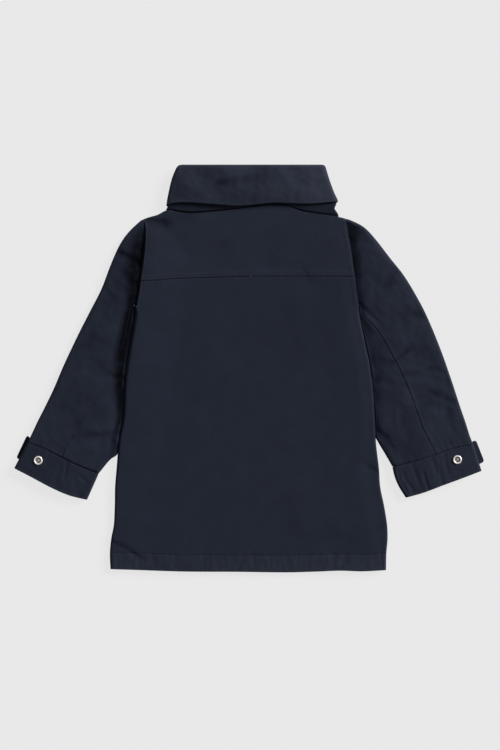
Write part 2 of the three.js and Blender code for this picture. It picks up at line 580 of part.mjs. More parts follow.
function sleeveHeight(sleeve, along, distance, width, x, y) {
  const across = clamp(distance / width, 0, 1);
  const edgeHeight = lerp(sleeve.crest(along), SLEEVE_END_HEIGHT, EDGE_SHARE);
  const crown = (sleeve.crest(along) - edgeHeight) * Math.sin(Math.PI * across);
  const toInner = (width - distance) / sleeve.dipWidth(along);
  const valley = sleeve.dip(along) * Math.exp(-(toInner ** 2));
  const height = Math.max(edgeHeight + crown - valley + foldHeight('sleeve', x, y), 2 * WALL + FOLD_AIR);
  const lapped = smoothstep(distance, width - LAP - 2, width - LAP + 1);
  return along > sleeve.armholeEnd ? height : lerp(height, 2 * WALL + LAP_AIR, lapped);
}

// One point of a sleeve wall. A station is on the top layer, in a fold at the outer or inner
// edge, or on the bottom layer.
function sleevePoint(sleeve, along, station, isOuter) {
  const { width } = sleevePlan(sleeve, along, 0);
  const distance = station.distance(width);
  const place = sleevePlan(sleeve, along, distance);
  const height = sleeveHeight(sleeve, along, distance, width, place.x, place.y);
  const lift = tabLift(along, distance / width);
  const depth = isOuter ? 0 : WALL;
  if (station.layer === 'top') return [place.x, place.y, lift + height - depth];
  if (station.layer === 'bottom') return [place.x, place.y, lift + depth];
  const radius = height / 2;
  const reach = (radius - depth) * Math.cos(station.turn);
  const inward = station.layer === 'outer fold' ? radius - reach : width - radius + reach;
  const foldPlace = sleevePlan(sleeve, along, inward);
  return [foldPlace.x, foldPlace.y, lift + radius + (radius - depth) * Math.sin(station.turn)];
}

const FOLD_CLEAR = 5.2;          // past this distance from a folded edge the layers are flat
const UNDER_LEAST = 8;           // least width of the under sleeve, where it starts

// Stations of a layer, from one distance to another. Both are functions of the section's width.
function layerStations(layer, from, to, count) {
  return steps(count).map((share) =>
    ({ layer, distance: (width) => lerp(from(width), to(width), share) }));
}

function foldStations(layer, isOuterEdge) {
  return steps(2 * ARC_STEPS).map((share) => ({
    layer,
    turn: degToRad(90 - 180 * share),
    distance: (width) => (isOuterEdge ? 0 : width),
  }));
}

function sleeveWall(sleeve, alongs, stationsAt) {
  const grid = (isOuter) => alongs.map((along) =>
    stationsAt(along).map((station) => sleevePoint(sleeve, along, station, isOuter)));
  return closedWall(grid(true), grid(false));
}

// Distance of the elbow seam from the outer edge. The under sleeve keeps room for its fold.
function elbowSeam(sleeve, along, width) {
  return Math.min(sleeve.seam(along) * width, width - UNDER_LEAST);
}

// The upper sleeve wraps the outer edge. Above the end of the armhole it reaches the body: its
// top layer runs in under the back panel, and its bottom layer meets the front panel.
function makeUpperSleeve(sleeve) {
  const { armholeEnd, gapShare } = sleeve;
  const topEnd = (along) => (width) =>
    (along <= armholeEnd ? width + LAP : elbowSeam(sleeve, along, width) - SEAM_GAP / 2);
  const bottomEnd = (along) => (width) =>
    (along <= armholeEnd ? width : FRONT_SEAM_ACROSS * width - SEAM_GAP / 2);
  const alongs = [
    ...steps(SLEEVE_ROWS).filter((along) => along < armholeEnd - ROW_CLEAR),
    armholeEnd,
    armholeEnd + gapShare,
    ...steps(SLEEVE_ROWS).filter((along) => along > armholeEnd + ROW_CLEAR),
  ];
  const stationsAt = (along) => [
    ...layerStations('top', topEnd(along), () => FOLD_CLEAR, SLEEVE_TOP_STEPS),
    ...foldStations('outer fold', true),
    ...layerStations('bottom', () => FOLD_CLEAR, bottomEnd(along), SLEEVE_BOTTOM_STEPS),
  ];
  return namedMesh(`sleeve_upper_${sleeve.which}`, sleeveWall(sleeve, alongs, stationsAt), FINISHES.shell);
}

// The under sleeve wraps the inner edge, from the end of the armhole to the cuff
function makeUnderSleeve(sleeve) {
  const start = sleeve.armholeEnd + 2 * sleeve.gapShare;
  const alongs = [start, ...steps(SLEEVE_ROWS).filter((along) => along > sleeve.armholeEnd + ROW_CLEAR)];
  const stationsAt = (along) => [
    ...layerStations('top', (width) => elbowSeam(sleeve, along, width) + SEAM_GAP / 2,
      (width) => width - FOLD_CLEAR, UNDER_SLEEVE_STEPS),
    ...foldStations('inner fold', false),
    ...layerStations('bottom', (width) => width - FOLD_CLEAR,
      (width) => FRONT_SEAM_ACROSS * width + SEAM_GAP / 2, SLEEVE_BOTTOM_STEPS),
  ];
  return namedMesh(`sleeve_under_${sleeve.which}`, sleeveWall(sleeve, alongs, stationsAt), FINISHES.shell);
}

// Cuffs

function makeCuff(sleeve) {
  const seam = cuffCurve(sleeve.which, 'seam');
  const end = cuffCurve(sleeve.which, 'end');
  const plan = (share, across) => ({
    x: lerp(seam.x(across), end.x(across), share),
    y: lerp(seam.y(across), end.y(across), share),
  });
  const radius = CUFF_HEIGHT / 2;
  const length = Math.hypot(end.x(0.5) - seam.x(0.5), end.y(0.5) - seam.y(0.5));
  const point = (share, station, isOuter) => {
    const width = Math.hypot(plan(share, 1).x - plan(share, 0).x, plan(share, 1).y - plan(share, 0).y);
    const depth = isOuter ? 0 : WALL;
    const reach = (radius - depth) * Math.cos(station.turn ?? 0);
    const distance = {
      flat: () => lerp(radius, width - radius, station.across),
      'outer fold': () => radius - reach,
      'inner fold': () => width - radius + reach,
    }[station.kind]();
    const { x, y } = plan(share, distance / width);
    const high = station.kind === 'flat' ? station.side : Math.sin(station.turn);
    return [x, y, tabLift(1, distance / width) + radius + (radius - depth) * high];
  };
  const flat = (side, shares) => shares.map((across) => ({ kind: 'flat', across, side }));
  const fold = (kind, from) => steps(2 * ARC_STEPS)
    .map((share) => ({ kind, turn: degToRad(from - Math.sign(from) * 180 * share) }));
  const stations = [
    ...flat(1, steps(CUFF_STEPS).slice(1, -1)), ...fold('inner fold', 90),
    ...flat(-1, steps(CUFF_STEPS).slice(1, -1).reverse()), ...fold('outer fold', -90),
  ];
  const first = 2 * SEAM_GAP / length;
  const shares = steps(CUFF_ROWS).map((share) => lerp(first, 1, share));
  const grid = (isOuter) => shares.map((share) =>
    stations.map((station) => point(share, station, isOuter)));
  return namedMesh(`cuff_${sleeve.which}`, closedWall(grid(true), grid(false), true), FINISHES.shell);
}

function makeCuffTab(which) {
  const outline = new THREE.Shape(TAB_OUTLINES[which].map(({ x, y }) => new THREE.Vector2(x, y)));
  const geometry = new THREE.ExtrudeGeometry(outline, {
    depth: TAB_WALL - 2 * TAB_ROUND,
    bevelThickness: TAB_ROUND,
    bevelSize: TAB_ROUND,
    bevelOffset: -TAB_ROUND,
    bevelSegments: 1,
  });
  geometry.translate(0, 0, TAB_ROUND);
  return namedMesh(`cuff_tab_${which}`, geometry, FINISHES.shell);
}

function makeSnap(which) {
  const ringInner = SNAP_RADIUS - SNAP_RING_WIDTH;
  const ringMiddle = SNAP_RADIUS - SNAP_RING_WIDTH / 2;
  const ringProfile = [
    [ringInner, 0], [SNAP_RADIUS, 0], [SNAP_RADIUS, SNAP_RING_HEIGHT * 0.4],
    [ringMiddle + SNAP_CROWN, SNAP_RING_HEIGHT * 0.85], [ringMiddle, SNAP_RING_HEIGHT],
    [ringMiddle - SNAP_CROWN, SNAP_RING_HEIGHT * 0.85], [ringInner, SNAP_RING_HEIGHT * 0.4],
    [ringInner, 0],
  ];
  const studProfile = [
    [0, 0], [SNAP_STUD_RADIUS, 0], [SNAP_STUD_RADIUS, SNAP_STUD_HEIGHT * 0.5],
    [SNAP_STUD_RADIUS * 0.6, SNAP_STUD_HEIGHT * 0.9], [0, SNAP_STUD_HEIGHT],
  ];
  const { x, y } = SNAP_PLACES[which];
  const base = CUFF_HEIGHT + TAB_WALL + 2 * SEAM_GAP;
  return [['ring', ringProfile], ['stud', studProfile]].map(([part, profile]) => {
    const points = profile.map(([radius, height]) => new THREE.Vector2(radius, height));
    const mesh = namedMesh(`snap_${part}_${which}`,
      new THREE.LatheGeometry(points, SNAP_SEGMENTS), FINISHES.metal);
    mesh.rotation.x = Math.PI / 2;
    mesh.position.set(x, y, base);
    return mesh;
  });
}

// Collar

// Stations round a flattened ring that is open at the centre front: along the bottom to the left
// edge, round it, over the back, round the right edge and back along the bottom.
function collarStations() {
  const bend = steps(2 * ARC_STEPS).slice(1, -1);
  return [
    ...steps(COLLAR_FRONT_STEPS).map((share) => ({ kind: 'bottom', share, end: -1 })),
    ...bend.map((share) => ({ kind: 'left', turn: degToRad(-90 - 180 * share) })),
    ...steps(COLLAR_TOP_STEPS).map((share) => ({ kind: 'top', share })),
    ...bend.map((share) => ({ kind: 'right', turn: degToRad(90 - 180 * share) })),
    ...steps(COLLAR_FRONT_STEPS).reverse().map((share) => ({ kind: 'bottom', share, end: 1 })),
  ];
}

// A point of a flattened ring between x = left and right, its centre at z = middle. depth is
// measured inwards from the ring's face.
function ringPoint(station, { left, right, middle, half, depth, frontGap }) {
  if (station.kind === 'top' || station.kind === 'bottom') {
    const x = station.kind === 'top'
      ? lerp(left + half, right - half, station.share)
      : lerp(CENTRE_X, station.end < 0 ? left + half : right - half, station.share);
    const open = station.kind === 'bottom' && station.share === 0 ? station.end * frontGap / 2 : 0;
    const side = station.kind === 'top' ? 1 : -1;
    return { x: x + open, z: middle + side * (half - depth), high: side };
  }
  const centre = station.kind === 'left' ? left + half : right - half;
  return {
    x: centre + (half - depth) * Math.cos(station.turn),
    z: middle + (half - depth) * Math.sin(station.turn),
    high: Math.sin(station.turn),
  };
}

// The front half of the fall hangs lower and ends in a point at the centre front
function fallEdge(x, high) {
  const share = clamp((x - NECK_LEFT_X) / (NECK_RIGHT_X - NECK_LEFT_X), 0, 1);
  const front = lerp(fallLine(NECK_LEFT_X), fallLine(NECK_RIGHT_X), share)
    - FALL_FRONT_POINT * Math.sin(Math.PI * share);
  return lerp(front, fallLine(x), (high + 1) / 2);
}

function foldEdge(high) {
  return COLLAR_TOP_Y - COLLAR_FRONT_DROP * (1 - high) / 2;
}

// The fall is the outer layer of the turned-down collar. Along its top it folds inwards over the stand.
function makeCollarFall() {
  const free = steps(FALL_ROWS).map((share) =>
    ({ share, outer: share === 0 ? FALL_ROUND : 0, inner: WALL, in: 5 }));
  const lip = [
    { share: 1, outer: 0.4, inner: WALL + 0.1, in: 2.9, inIn: 4.0 },
    { share: 1, outer: 1.5, inner: WALL + 0.6, in: 1.2, inIn: 3.2 },
    { share: 1, outer: 3.2, inner: 4.6, in: 0.3, inIn: WALL },
    { share: 1, outer: COLLAR_LIP, inner: COLLAR_LIP, in: 0, inIn: WALL },
  ];
  const stations = collarStations();
  const half = COLLAR_HEIGHT / 2;
  const point = (row, station, isOuter) => {
    let x = 0;
    let y = COLLAR_TOP_Y;
    let ring = null;
    for (let pass = 0; pass < 4; pass += 1) {
      const depth = isOuter ? row.outer : row.inner;
      ring = ringPoint(station, {
        left: collarLeft(y), right: collarRight(y), middle: half, half, depth, frontGap: FALL_FRONT_GAP,
      });
      x = ring.x;
      const inset = isOuter ? row.in : row.inIn ?? row.in;
      y = lerp(fallEdge(x, ring.high), foldEdge(ring.high) - inset, row.share);
    }
    const swell = station.kind === 'top'
      ? FALL_SWELL * Math.sin(Math.PI * station.share) * Math.sin(Math.PI * row.share)
      : 0;
    const dent = foldHeight('collar', x, y) * swell / FALL_SWELL;
    return [x, y, ring.z + swell + dent];
  };
  const grid = (isOuter) => [...free, ...lip].map((row) =>
    stations.map((station) => point(row, station, isOuter)));
  return namedMesh('collar_fall', closedWall(grid(true), grid(false)), FINISHES.collar);
}

// The stand is sewn to the neckline, and rises inside the fall
function makeCollarStand() {
  const inFall = WALL + SEAM_GAP;
  const rise = [0, 0.25, 0.5, 0.75, 1];
  const rows = [
    ...rise.map((share) => ({ rise: share, share: 0 })),
    ...steps(STAND_ROWS).slice(1).map((share) => ({ rise: 1, share })),
  ];
  const stations = collarStations();
  const halfInFall = COLLAR_HEIGHT / 2 - inFall;
  const halfAtSeam = NECK_HEIGHT / 2;
  const point = (row, station, isOuter) => {
    const climb = smoothstep(row.rise, 0, 1);
    let x = 0;
    let y = 240;
    let ring = null;
    for (let pass = 0; pass < 4; pass += 1) {
      const inset = (inFall + SIDE_CLEAR) * climb;
      ring = ringPoint(station, {
        left: lerp(NECK_LEFT_X, collarLeft(y), climb) + inset,
        right: lerp(NECK_RIGHT_X, collarRight(y), climb) - inset,
        middle: lerp(halfAtSeam, COLLAR_HEIGHT / 2, climb),
        half: lerp(halfAtSeam, halfInFall, climb),
        depth: isOuter ? 0 : WALL,
        frontGap: STAND_FRONT_GAP,
      });
      x = ring.x;
      const frontShare = (1 - ring.high) / 2;
      const seam = lerp(neckLine(x), frontNeckLine(x), frontShare) + SEAM_GAP;
      const climbLength = clamp(fallEdge(x, ring.high) - seam - 0.6, 3.6, 14);
      const top = foldEdge(ring.high) - WALL - STAND_SHORT;
      y = lerp(seam + climbLength * row.rise, top, row.share);
    }
    return [x, y, ring.z];
  };
  const grid = (isOuter) => rows.map((row) => stations.map((station) => point(row, station, isOuter)));
  return namedMesh('collar_stand', closedWall(grid(true), grid(false)), FINISHES.collar);
}

const parka = new THREE.Group();
parka.add(makeBack(), makeYoke(), makeFront('front_left', true), makeFront('front_right', false));
parka.add(makeCollarStand(), makeCollarFall());
for (const which of ['left', 'right']) {
  const sleeve = sleeveShape(which);
  parka.add(makeUpperSleeve(sleeve), makeUnderSleeve(sleeve), makeCuff(sleeve));
  parka.add(makeCuffTab(which), ...makeSnap(which));
}

export default parka;
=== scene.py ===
"""A child's navy parka laid flat with its back upwards, dressed on its CAD frame.

The scene is in metres. The garment's own sizes are in millimetres, as a pattern cutter writes them:
X runs across the back, +Y from the hem to the collar, and the cloth rests on z = 0.
"""

import logging
import math
from collections.abc import Callable
from dataclasses import dataclass, field
from enum import Enum
from typing import ClassVar

import bpy
import numpy as np
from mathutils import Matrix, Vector


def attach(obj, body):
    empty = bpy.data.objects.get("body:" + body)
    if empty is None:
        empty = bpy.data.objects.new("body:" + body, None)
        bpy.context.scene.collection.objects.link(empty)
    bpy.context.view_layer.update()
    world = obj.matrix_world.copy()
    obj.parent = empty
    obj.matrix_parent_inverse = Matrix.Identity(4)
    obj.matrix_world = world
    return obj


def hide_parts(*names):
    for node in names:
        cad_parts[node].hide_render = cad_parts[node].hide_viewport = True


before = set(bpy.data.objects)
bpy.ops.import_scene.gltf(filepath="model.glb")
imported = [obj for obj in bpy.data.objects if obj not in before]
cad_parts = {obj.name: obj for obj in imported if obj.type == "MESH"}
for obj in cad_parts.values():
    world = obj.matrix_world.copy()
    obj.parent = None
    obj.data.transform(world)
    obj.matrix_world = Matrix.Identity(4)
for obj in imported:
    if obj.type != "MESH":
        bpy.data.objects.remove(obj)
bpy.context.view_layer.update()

log = logging.getLogger("parka")

Array = np.ndarray
Field = Callable[[Array, Array], Array]
Colour = tuple[float, float, float]
Value = float | tuple[float, ...] | bpy.types.NodeSocket

METRES = 0.001            # metres in a millimetre
BODY = "root"             # the frame's only body

WALL = 3.0                # thickness of the solids' walls
SHELL = 1.9               # thickness of the cloth shell that shows
ROUND = 0.8               # rounding of a folded cloth edge
SEAM_GAP = 0.3            # clearance between two pieces that are sewn together
CENTRE_X = 2.0            # centre line of the garment as it lies
BODY_HEIGHT = 7.6         # both layers of the body, away from its side edges
NECK_HEIGHT = 9.8         # both layers at the neck seam
HEM_DEPTH = 25.0          # turned hem, from its edge to its line of stitches
YOKE_LAP = 5.0            # seam allowance pressed up under the yoke
YOKE_STEP = 0.5           # how much that allowance lifts the yoke
ARMHOLE_TOP_Y = 224.0     # the armhole's upper end, at the shoulder
ARMHOLE_END_Y = 92.0      # its lower end, where the side seam starts
CUFF_HEIGHT = 9.2         # both layers of a cuff
TAB_WALL = 2.0            # the strap under a cuff
TAB_RISE_ALONG = (0.82, 0.985)  # where the sleeve rises to the strap, as shares of its length
TAB_RISE_ACROSS = (0.62, 0.9)   # where the strap ends below it, as shares of its width
COLLAR_HEIGHT = 14.6      # the fall's two layers with the stand between them
UPPER_RIGHT = (0.85, 0.53)  # direction in the plan of the creases' steep sides
NECK_LEFT_X = -125.0      # ends of the neckline
NECK_RIGHT_X = 133.6
SETTLE_STEPS = 6          # rounds in which a point's place and the section there settle


class Side(Enum):
    """A side of the garment as it lies; the value points away from the centre line."""

    LEFT = -1
    RIGHT = 1

    @property
    def word(self) -> str:
        """The side's name in the names of pieces."""
        return self.name.lower()


class Layer(Enum):
    """Where a station of a sleeve's or a cuff's section lies."""

    TOP = 0
    OUTER_FOLD = 1
    INNER_FOLD = 2
    BOTTOM = 3


def table(columns: str, *rows: tuple[float, ...]) -> dict[str, Array]:
    """A short table as one array for each named column.

    Args:
        columns: the names of the columns, parted by spaces.
        rows: the table's rows.

    Returns:
        Each column's values under its name.
    """
    return dict(zip(columns.split(), np.array(rows, dtype=float).T))


# Side edges of the body, from the hem to the shoulder, and the height of both layers there
BODY_SECTIONS = table(
    "y left right left_rim right_rim",
    (-306, -208.4, 204.9, 8.0, 8.0), (-278, -209.5, 205.4, 8.0, 8.0), (-256, -207.5, 207.2, 8.2, 8.2),
    (-235, -203.6, 206.5, 8.2, 8.2), (-206, -202.2, 201.9, 8.2, 8.2), (-178, -201.7, 196.2, 8.4, 8.4),
    (-150, -199.4, 194.2, 8.6, 8.6), (-110, -195.9, 189.6, 9.2, 8.8), (-73, -189.2, 188.4, 9.6, 9.0),
    (-33, -187.6, 185.6, 9.6, 9.2), (0, -184.6, 181.6, 9.6, 9.4), (38, -178.4, 173.8, 9.6, 9.6),
    (70, -173.0, 166.8, 9.6, 9.6), (97, -168.0, 162.0, 9.7, 9.7), (117, -164.4, 159.6, 9.7, 9.7),
    (137, -161.8, 156.8, 9.7, 9.7), (160, -158.4, 153.4, 9.7, 9.7), (177, -156.6, 151.2, 9.7, 9.7),
    (192, -155.6, 148.4, 9.7, 9.7), (207, -155.6, 145.6, 9.7, 9.7), (224, -158.2, 143.4, 9.7, 9.7),
)

# Lines across the body
HEM_LINE = table(
    "x y",
    (-209, -301.3), (-172, -302.5), (-100, -304.9), (-14, -305.4), (54, -306.2), (98, -305.1),
    (136, -303.7), (168, -304.6), (206, -302.8),
)
YOKE_LINE = table(
    "x y",
    (-164, 131.3), (-136, 131.9), (-118, 133.8), (-76, 135.4), (-10, 137.5), (56, 138.0), (159, 137.6),
)
NECK_LINE = table(
    "x y",
    (-159, 223.4), (-150, 226.6), (-138, 230.0), (-124, 236.6), (-106, 233.6), (-88, 231.6),
    (-55, 234.2), (-10, 239.5), (8, 242.6), (32, 245.8), (56, 243.0), (77, 235.2), (100, 230.6),
    (133, 226.8), (139, 225.6), (145, 224.0),
)

# Side edges of the collar, and the lower edge of its fall across the back
COLLAR_SECTIONS = table(
    "y left right",
    (226, -125.4, 134.0), (238, -125.1, 129.4), (249, -124.0, 132.8), (262, -121.6, 127.4),
    (281, -117.2, 120.3), (296, -111.6, 115.7), (306, -106.2, 112.8),
)
FALL_LINE = table(
    "x y",
    (-126, 242.4), (-114, 246.8), (-90, 247.6), (-65, 245.8), (-41, 244.1), (-21, 242.6),
    (12, 244.7), (34, 247.0), (89, 245.8), (131, 249.1),
)

# Sections of the sleeves from the shoulder to the cuff. x and y are on the outer edge; the inner
# edge lies beside the body's edge at inner_y, away from it. Beside it the cloth dips and is tucked
# in, and within reach of it a painted shade darkens the cloth by shade, standing in for the shadow
# between sleeve and body. seam is the elbow seam's place, as a share of the way from the outer edge.
SLEEVE_COLUMNS = "x y inner_y away crest dip dip_width tuck shade reach seam"
SLEEVE_SECTIONS = {
    Side.LEFT: table(
        SLEEVE_COLUMNS,
        (-157.8, 223.8, 219.6, -1.2, 7.2, 0, 10, 0, 0, 10, 1),
        (-163.6, 221.0, 210.0, 0.2, 8.0, 0.6, 10, 0.4, 0.3, 14, 1),
        (-183.4, 201.6, 183.2, 0.2, 9.2, 1.4, 10, 0.6, 0.75, 34, 1),
        (-196.4, 181.9, 159.2, 0.2, 9.5, 1.6, 10, 0.8, 1.0, 34, 1),
        (-209.0, 153.2, 130.7, 0.1, 9.6, 1.6, 10, 0.8, 1.0, 38, 1),
        (-222.6, 117.7, 92.0, -0.5, 9.7, 1.6, 9, 0.8, 1.15, 25, 1),
        (-239.5, 84.7, 61.7, -0.8, 9.7, 1.8, 9, 0.6, 1.25, 26, 0.92),
        (-256.7, 50.9, 28.7, -0.8, 9.7, 1.6, 9, 0.4, 1.15, 29, 0.87),
        (-278.4, 5.0, -20.8, -0.8, 9.7, 1.2, 9, 0.2, 1.0, 23, 0.76),
        (-294.2, -32.0, -74.8, -0.8, 9.7, 1.4, 8, 0.6, 1.0, 14, 0.562),
        (-307.6, -59.8, -98.8, -0.7, 9.6, 1.4, 9, 0.4, 0.8, 16, 0.508),
        (-318.2, -80.8, -123.0, -0.5, 9.4, 1.2, 10, 0.4, 0.6, 14, 0.457),
        (-322.8, -91.0, -130.7, 1.4, 9.2, 1.0, 10, 0.4, 0.4, 12, 0.460),
        (-327.4, -100.6, -138.0, 11.2, 9.0, 0.4, 10, 0.2, 0, 10, 0.466),
        (-332.2, -110.6, -158.2, 26.2, 8.6, 0, 10, 0, 0, 10, 0.5),
    ),
    Side.RIGHT: table(
        SLEEVE_COLUMNS,
        (142.8, 224.3, 219.6, -1.2, 7.2, 0, 10, 0, 0.2, 10, 1),
        (150.0, 222.6, 212.6, 0.2, 8.0, 0.2, 10, 0.1, 0.55, 18, 1),
        (171.0, 212.0, 198.2, 0.2, 9.2, 0.7, 12, 0.5, 0.75, 30, 1),
        (187.0, 195.8, 181.7, 0.2, 9.5, 0.8, 14, 0.8, 0.7, 18, 1),
        (210.9, 165.2, 153.2, 0.2, 9.7, 1.0, 14, 1.2, 0.7, 18, 1),
        (232.6, 137.5, 123.2, 0.1, 9.7, 0.8, 12, 1.0, 0.6, 13, 1),
        (256.2, 97.7, 92.0, -0.5, 9.7, 1.2, 12, 0.6, 0.55, 15, 1),
        (270.0, 69.2, 57.2, -1.3, 9.7, 0.8, 14, 0, 0.3, 18, 0.78),
        (288.2, 24.2, 1.7, -1.6, 9.7, 0.2, 14, -0.4, 0.25, 18, 0.628),
        (303.4, -19.3, -44.8, -1.2, 9.7, 0.8, 14, 0.2, 0.35, 20, 0.54),
        (317.6, -62.8, -85.3, -1.0, 9.6, 0.8, 12, 0.2, 0.35, 18, 0.506),
        (323.2, -79.0, -102.5, -0.6, 9.5, 0.8, 12, 0.2, 0.3, 14, 0.504),
        (325.6, -86.8, -110.8, 3.0, 9.4, 0.8, 12, 0.2, 0.2, 12, 0.502),
        (330.8, -103.3, -128.0, 11.4, 9.0, 0.6, 10, 0.2, 0, 10, 0.502),
        (335.4, -114.3, -147.6, 20.2, 8.6, 0, 10, 0, 0, 10, 0.51),
    ),
}

# Cuffs from the outer to the inner edge: the seam line and the free end
CUFF_COLUMNS = "seam_x seam_y end_x end_y"
CUFF_STATIONS = {
    Side.LEFT: table(
        CUFF_COLUMNS,
        (-332.2, -110.8, -352.6, -149.8), (-306.8, -120.9, -325.4, -163.9),
        (-281.2, -134.0, -296.8, -179.1), (-254.8, -147.0, -269.4, -190.9),
        (-226.2, -158.4, -243.6, -197.4),
    ),
    Side.RIGHT: table(
        CUFF_COLUMNS,
        (335.4, -114.5, 347.8, -153.7), (308.2, -119.6, 319.0, -164.8), (281.2, -128.6, 290.2, -175.4),
        (249.0, -139.6, 261.4, -186.4), (214.4, -147.8, 234.4, -194.2),
    ),
}
TAB_OUTLINES = {
    Side.LEFT: table(
        "x y",
        (-334.6, -101.4), (-349.9, -133.8), (-347.4, -136.6), (-305.0, -155.4), (-290.6, -126.2),
        (-329.4, -108.6), (-330.2, -103.2),
    ),
    Side.RIGHT: table(
        "x y",
        (340.4, -108.6), (352.6, -139.6), (348.2, -143.0), (303.0, -157.0), (291.4, -124.8),
        (332.6, -112.2), (335.4, -109.6),
    ),
}
SNAP_PLACES = {Side.LEFT: (-316.2, -138.1), Side.RIGHT: (310.9, -136.9)}

# Creases of the upper layers: ends of the line, half width, height, and the ridge on its right side
CREASE_COLUMNS = "x1 y1 x2 y2 width height lip bow"
BODY_CREASES = table(
    CREASE_COLUMNS,
    (-155, 222.5, -130, 217.5, 5.5, -2.0, 0.2, 0),
    (-130, 217.5, -98, 228, 8.0, -1.3, 0, 0),
    (83, 145, 90, 133, 3.0, -0.4, 0, 0),
    (32, 156, 76, 152, 9.0, -0.4, 0, 0),
    (53, -200, 66, -242, 13.0, -0.5, 0, 3),
    (-206, -261, -172, -279.5, 3.6, -1.4, 0.5, -2),
    (180, -149, 196, -158, 4.5, -1.2, 0.3, 0),
    (-170, 100, -150, 20, 16.0, 0.5, 0, 5),
    (150, 60, 172, -60, 18.0, 0.5, 0, -5),
    (120, -240, 150, -262, 10.0, -0.4, 0, 2),
    (-60, 60, -20, -20, 22.0, 0.35, 0, 6),
    (40, 90, 70, 20, 20.0, -0.35, 0, -6),
)
SLEEVE_CREASES = {
    Side.LEFT: table(
        CREASE_COLUMNS,
        (-191, 171.5, -165, 157, 4.2, -2.2, 0.2, -1),
        (-164, 196, -163, 166, 7.0, -1.4, 0, 0),
        (-187, 141, -168, 126, 6.0, -1.2, 0.5, 0),
        (-217, 121, -204, 105, 5.0, -0.6, 0.2, 0),
        (-204, -12, -184, -15, 3.6, -1.6, 0.6, 0),
        (-193, -34, -190, -72, 6.5, -2.4, 0, 0),
        (-246, -101, -224, -104, 7.0, -1.0, 0.3, 0),
        (-229, -100, -196, -98, 4.6, -1.0, 0.4, 0),
        (-202, -113, -190, -128, 6.0, -1.5, 0, 0),
        (-236, 6, -204, -8, 9.0, -0.7, 0.3, 2),
        (-263, -40, -228, -62, 10.0, -0.7, 0.3, -2),
        (-282, -52, -262, -78, 9.0, -0.5, 0, 0),
        (-252, 52, -222, 36, 9.0, -0.5, 0.2, 0),
    ),
    Side.RIGHT: table(
        CREASE_COLUMNS,
        (144, 211, 168, 206, 6.5, -1.2, 0.2, 0),
        (217, 142, 206, 123, 8.0, -0.9, 0.2, 2),
        (164, 96, 188, 74, 3.4, -1.1, 0.3, 0),
        (167, 71, 180, 55, 6.0, -1.2, 0, 0),
        (243, 83, 262, 74, 5.5, -0.9, 0.3, 0),
        (252, 53, 261, 28, 10.0, -0.8, 0, 0),
        (216.5, 9.8, 233.5, 21.4, 2.4, -1.5, 0.5, 0),
        (232, -12, 271, -0.5, 4.0, -0.9, 0.4, 2),
        (268, 0, 290, -6, 4.0, -0.7, 0.3, 0),
        (252, -44, 276, -38, 4.0, -0.8, 0.3, 1),
        (275, -38, 298, -47, 4.4, -0.7, 0.3, 0),
        (189, -18, 217, -22, 5.0, -0.8, 0.3, 0),
        (184, 12, 211, 4, 8.0, -0.7, 0.2, 0),
        (192, -95, 204, -104, 5.0, -1.8, 0.4, 0),
        (205, -112, 215, -119, 4.0, -0.8, 0, 0),
        (296, -60, 304, -92, 9.0, -0.6, 0, 0),
    ),
}
CUFF_CREASES = {
    Side.LEFT: table(
        CREASE_COLUMNS,
        (-272.5, -144, -275.5, -158, 2.4, -1.0, 0.4, 0),
        (-254, -161.5, -247.5, -167.5, 2.2, -0.8, 0.3, 0),
        (-300, -131, -304, -140, 2.6, -0.6, 0.2, 0),
        (-284, -150, -290, -170, 4.0, -0.5, 0.2, 0),
        (-262, -168, -258, -184, 3.4, -0.5, 0.2, 0),
        (-238, -166, -250, -176, 3.0, -0.6, 0.2, 0),
    ),
    Side.RIGHT: table(
        CREASE_COLUMNS,
        (262, -161, 268, -180, 2.4, -1.0, 0.5, 0),
        (275, -138, 279, -152, 2.6, -0.7, 0.3, 0),
        (293, -132, 296, -150, 2.6, -0.7, 0.3, 0),
        (246, -150, 252, -166, 2.8, -0.7, 0.3, 0),
        (232, -160, 241, -176, 2.8, -0.8, 0.3, 2),
        (224, -158, 232, -178, 2.6, -0.7, 0.3, 2),
        (286, -158, 289, -172, 2.6, -0.6, 0.3, 0),
    ),
}
COLLAR_CREASES = table(
    CREASE_COLUMNS,
    (-38, 277, 3, 285.5, 6.5, -1.3, 0.4, 0),
    (-67, 298, -46, 288, 7.0, -0.8, 0, 0),
    (64, 298, 80, 289, 6.5, -0.7, 0, 0),
    (-104, 268, -80, 262, 8.0, -0.5, 0, 0),
    (40, 268, 92, 262, 10.0, 0.5, 0, 0),
)


def lerp(start: Array | float, end: Array | float, share: Array | float) -> Array | float:
    """The value a share of the way from start to end."""
    return start + (end - start) * share


def smoothstep(value: Array | float, low: float, high: float) -> Array:
    """0 below low, 1 above high, and smooth between them."""
    share = np.clip((np.asarray(value, dtype=float) - low) / (high - low), 0, 1)
    return share * share * (3 - 2 * share)


def bell(distance: Array, width: float | Array) -> Array:
    """A soft hump, 1 at no distance."""
    return np.exp(-((distance / width) ** 2))


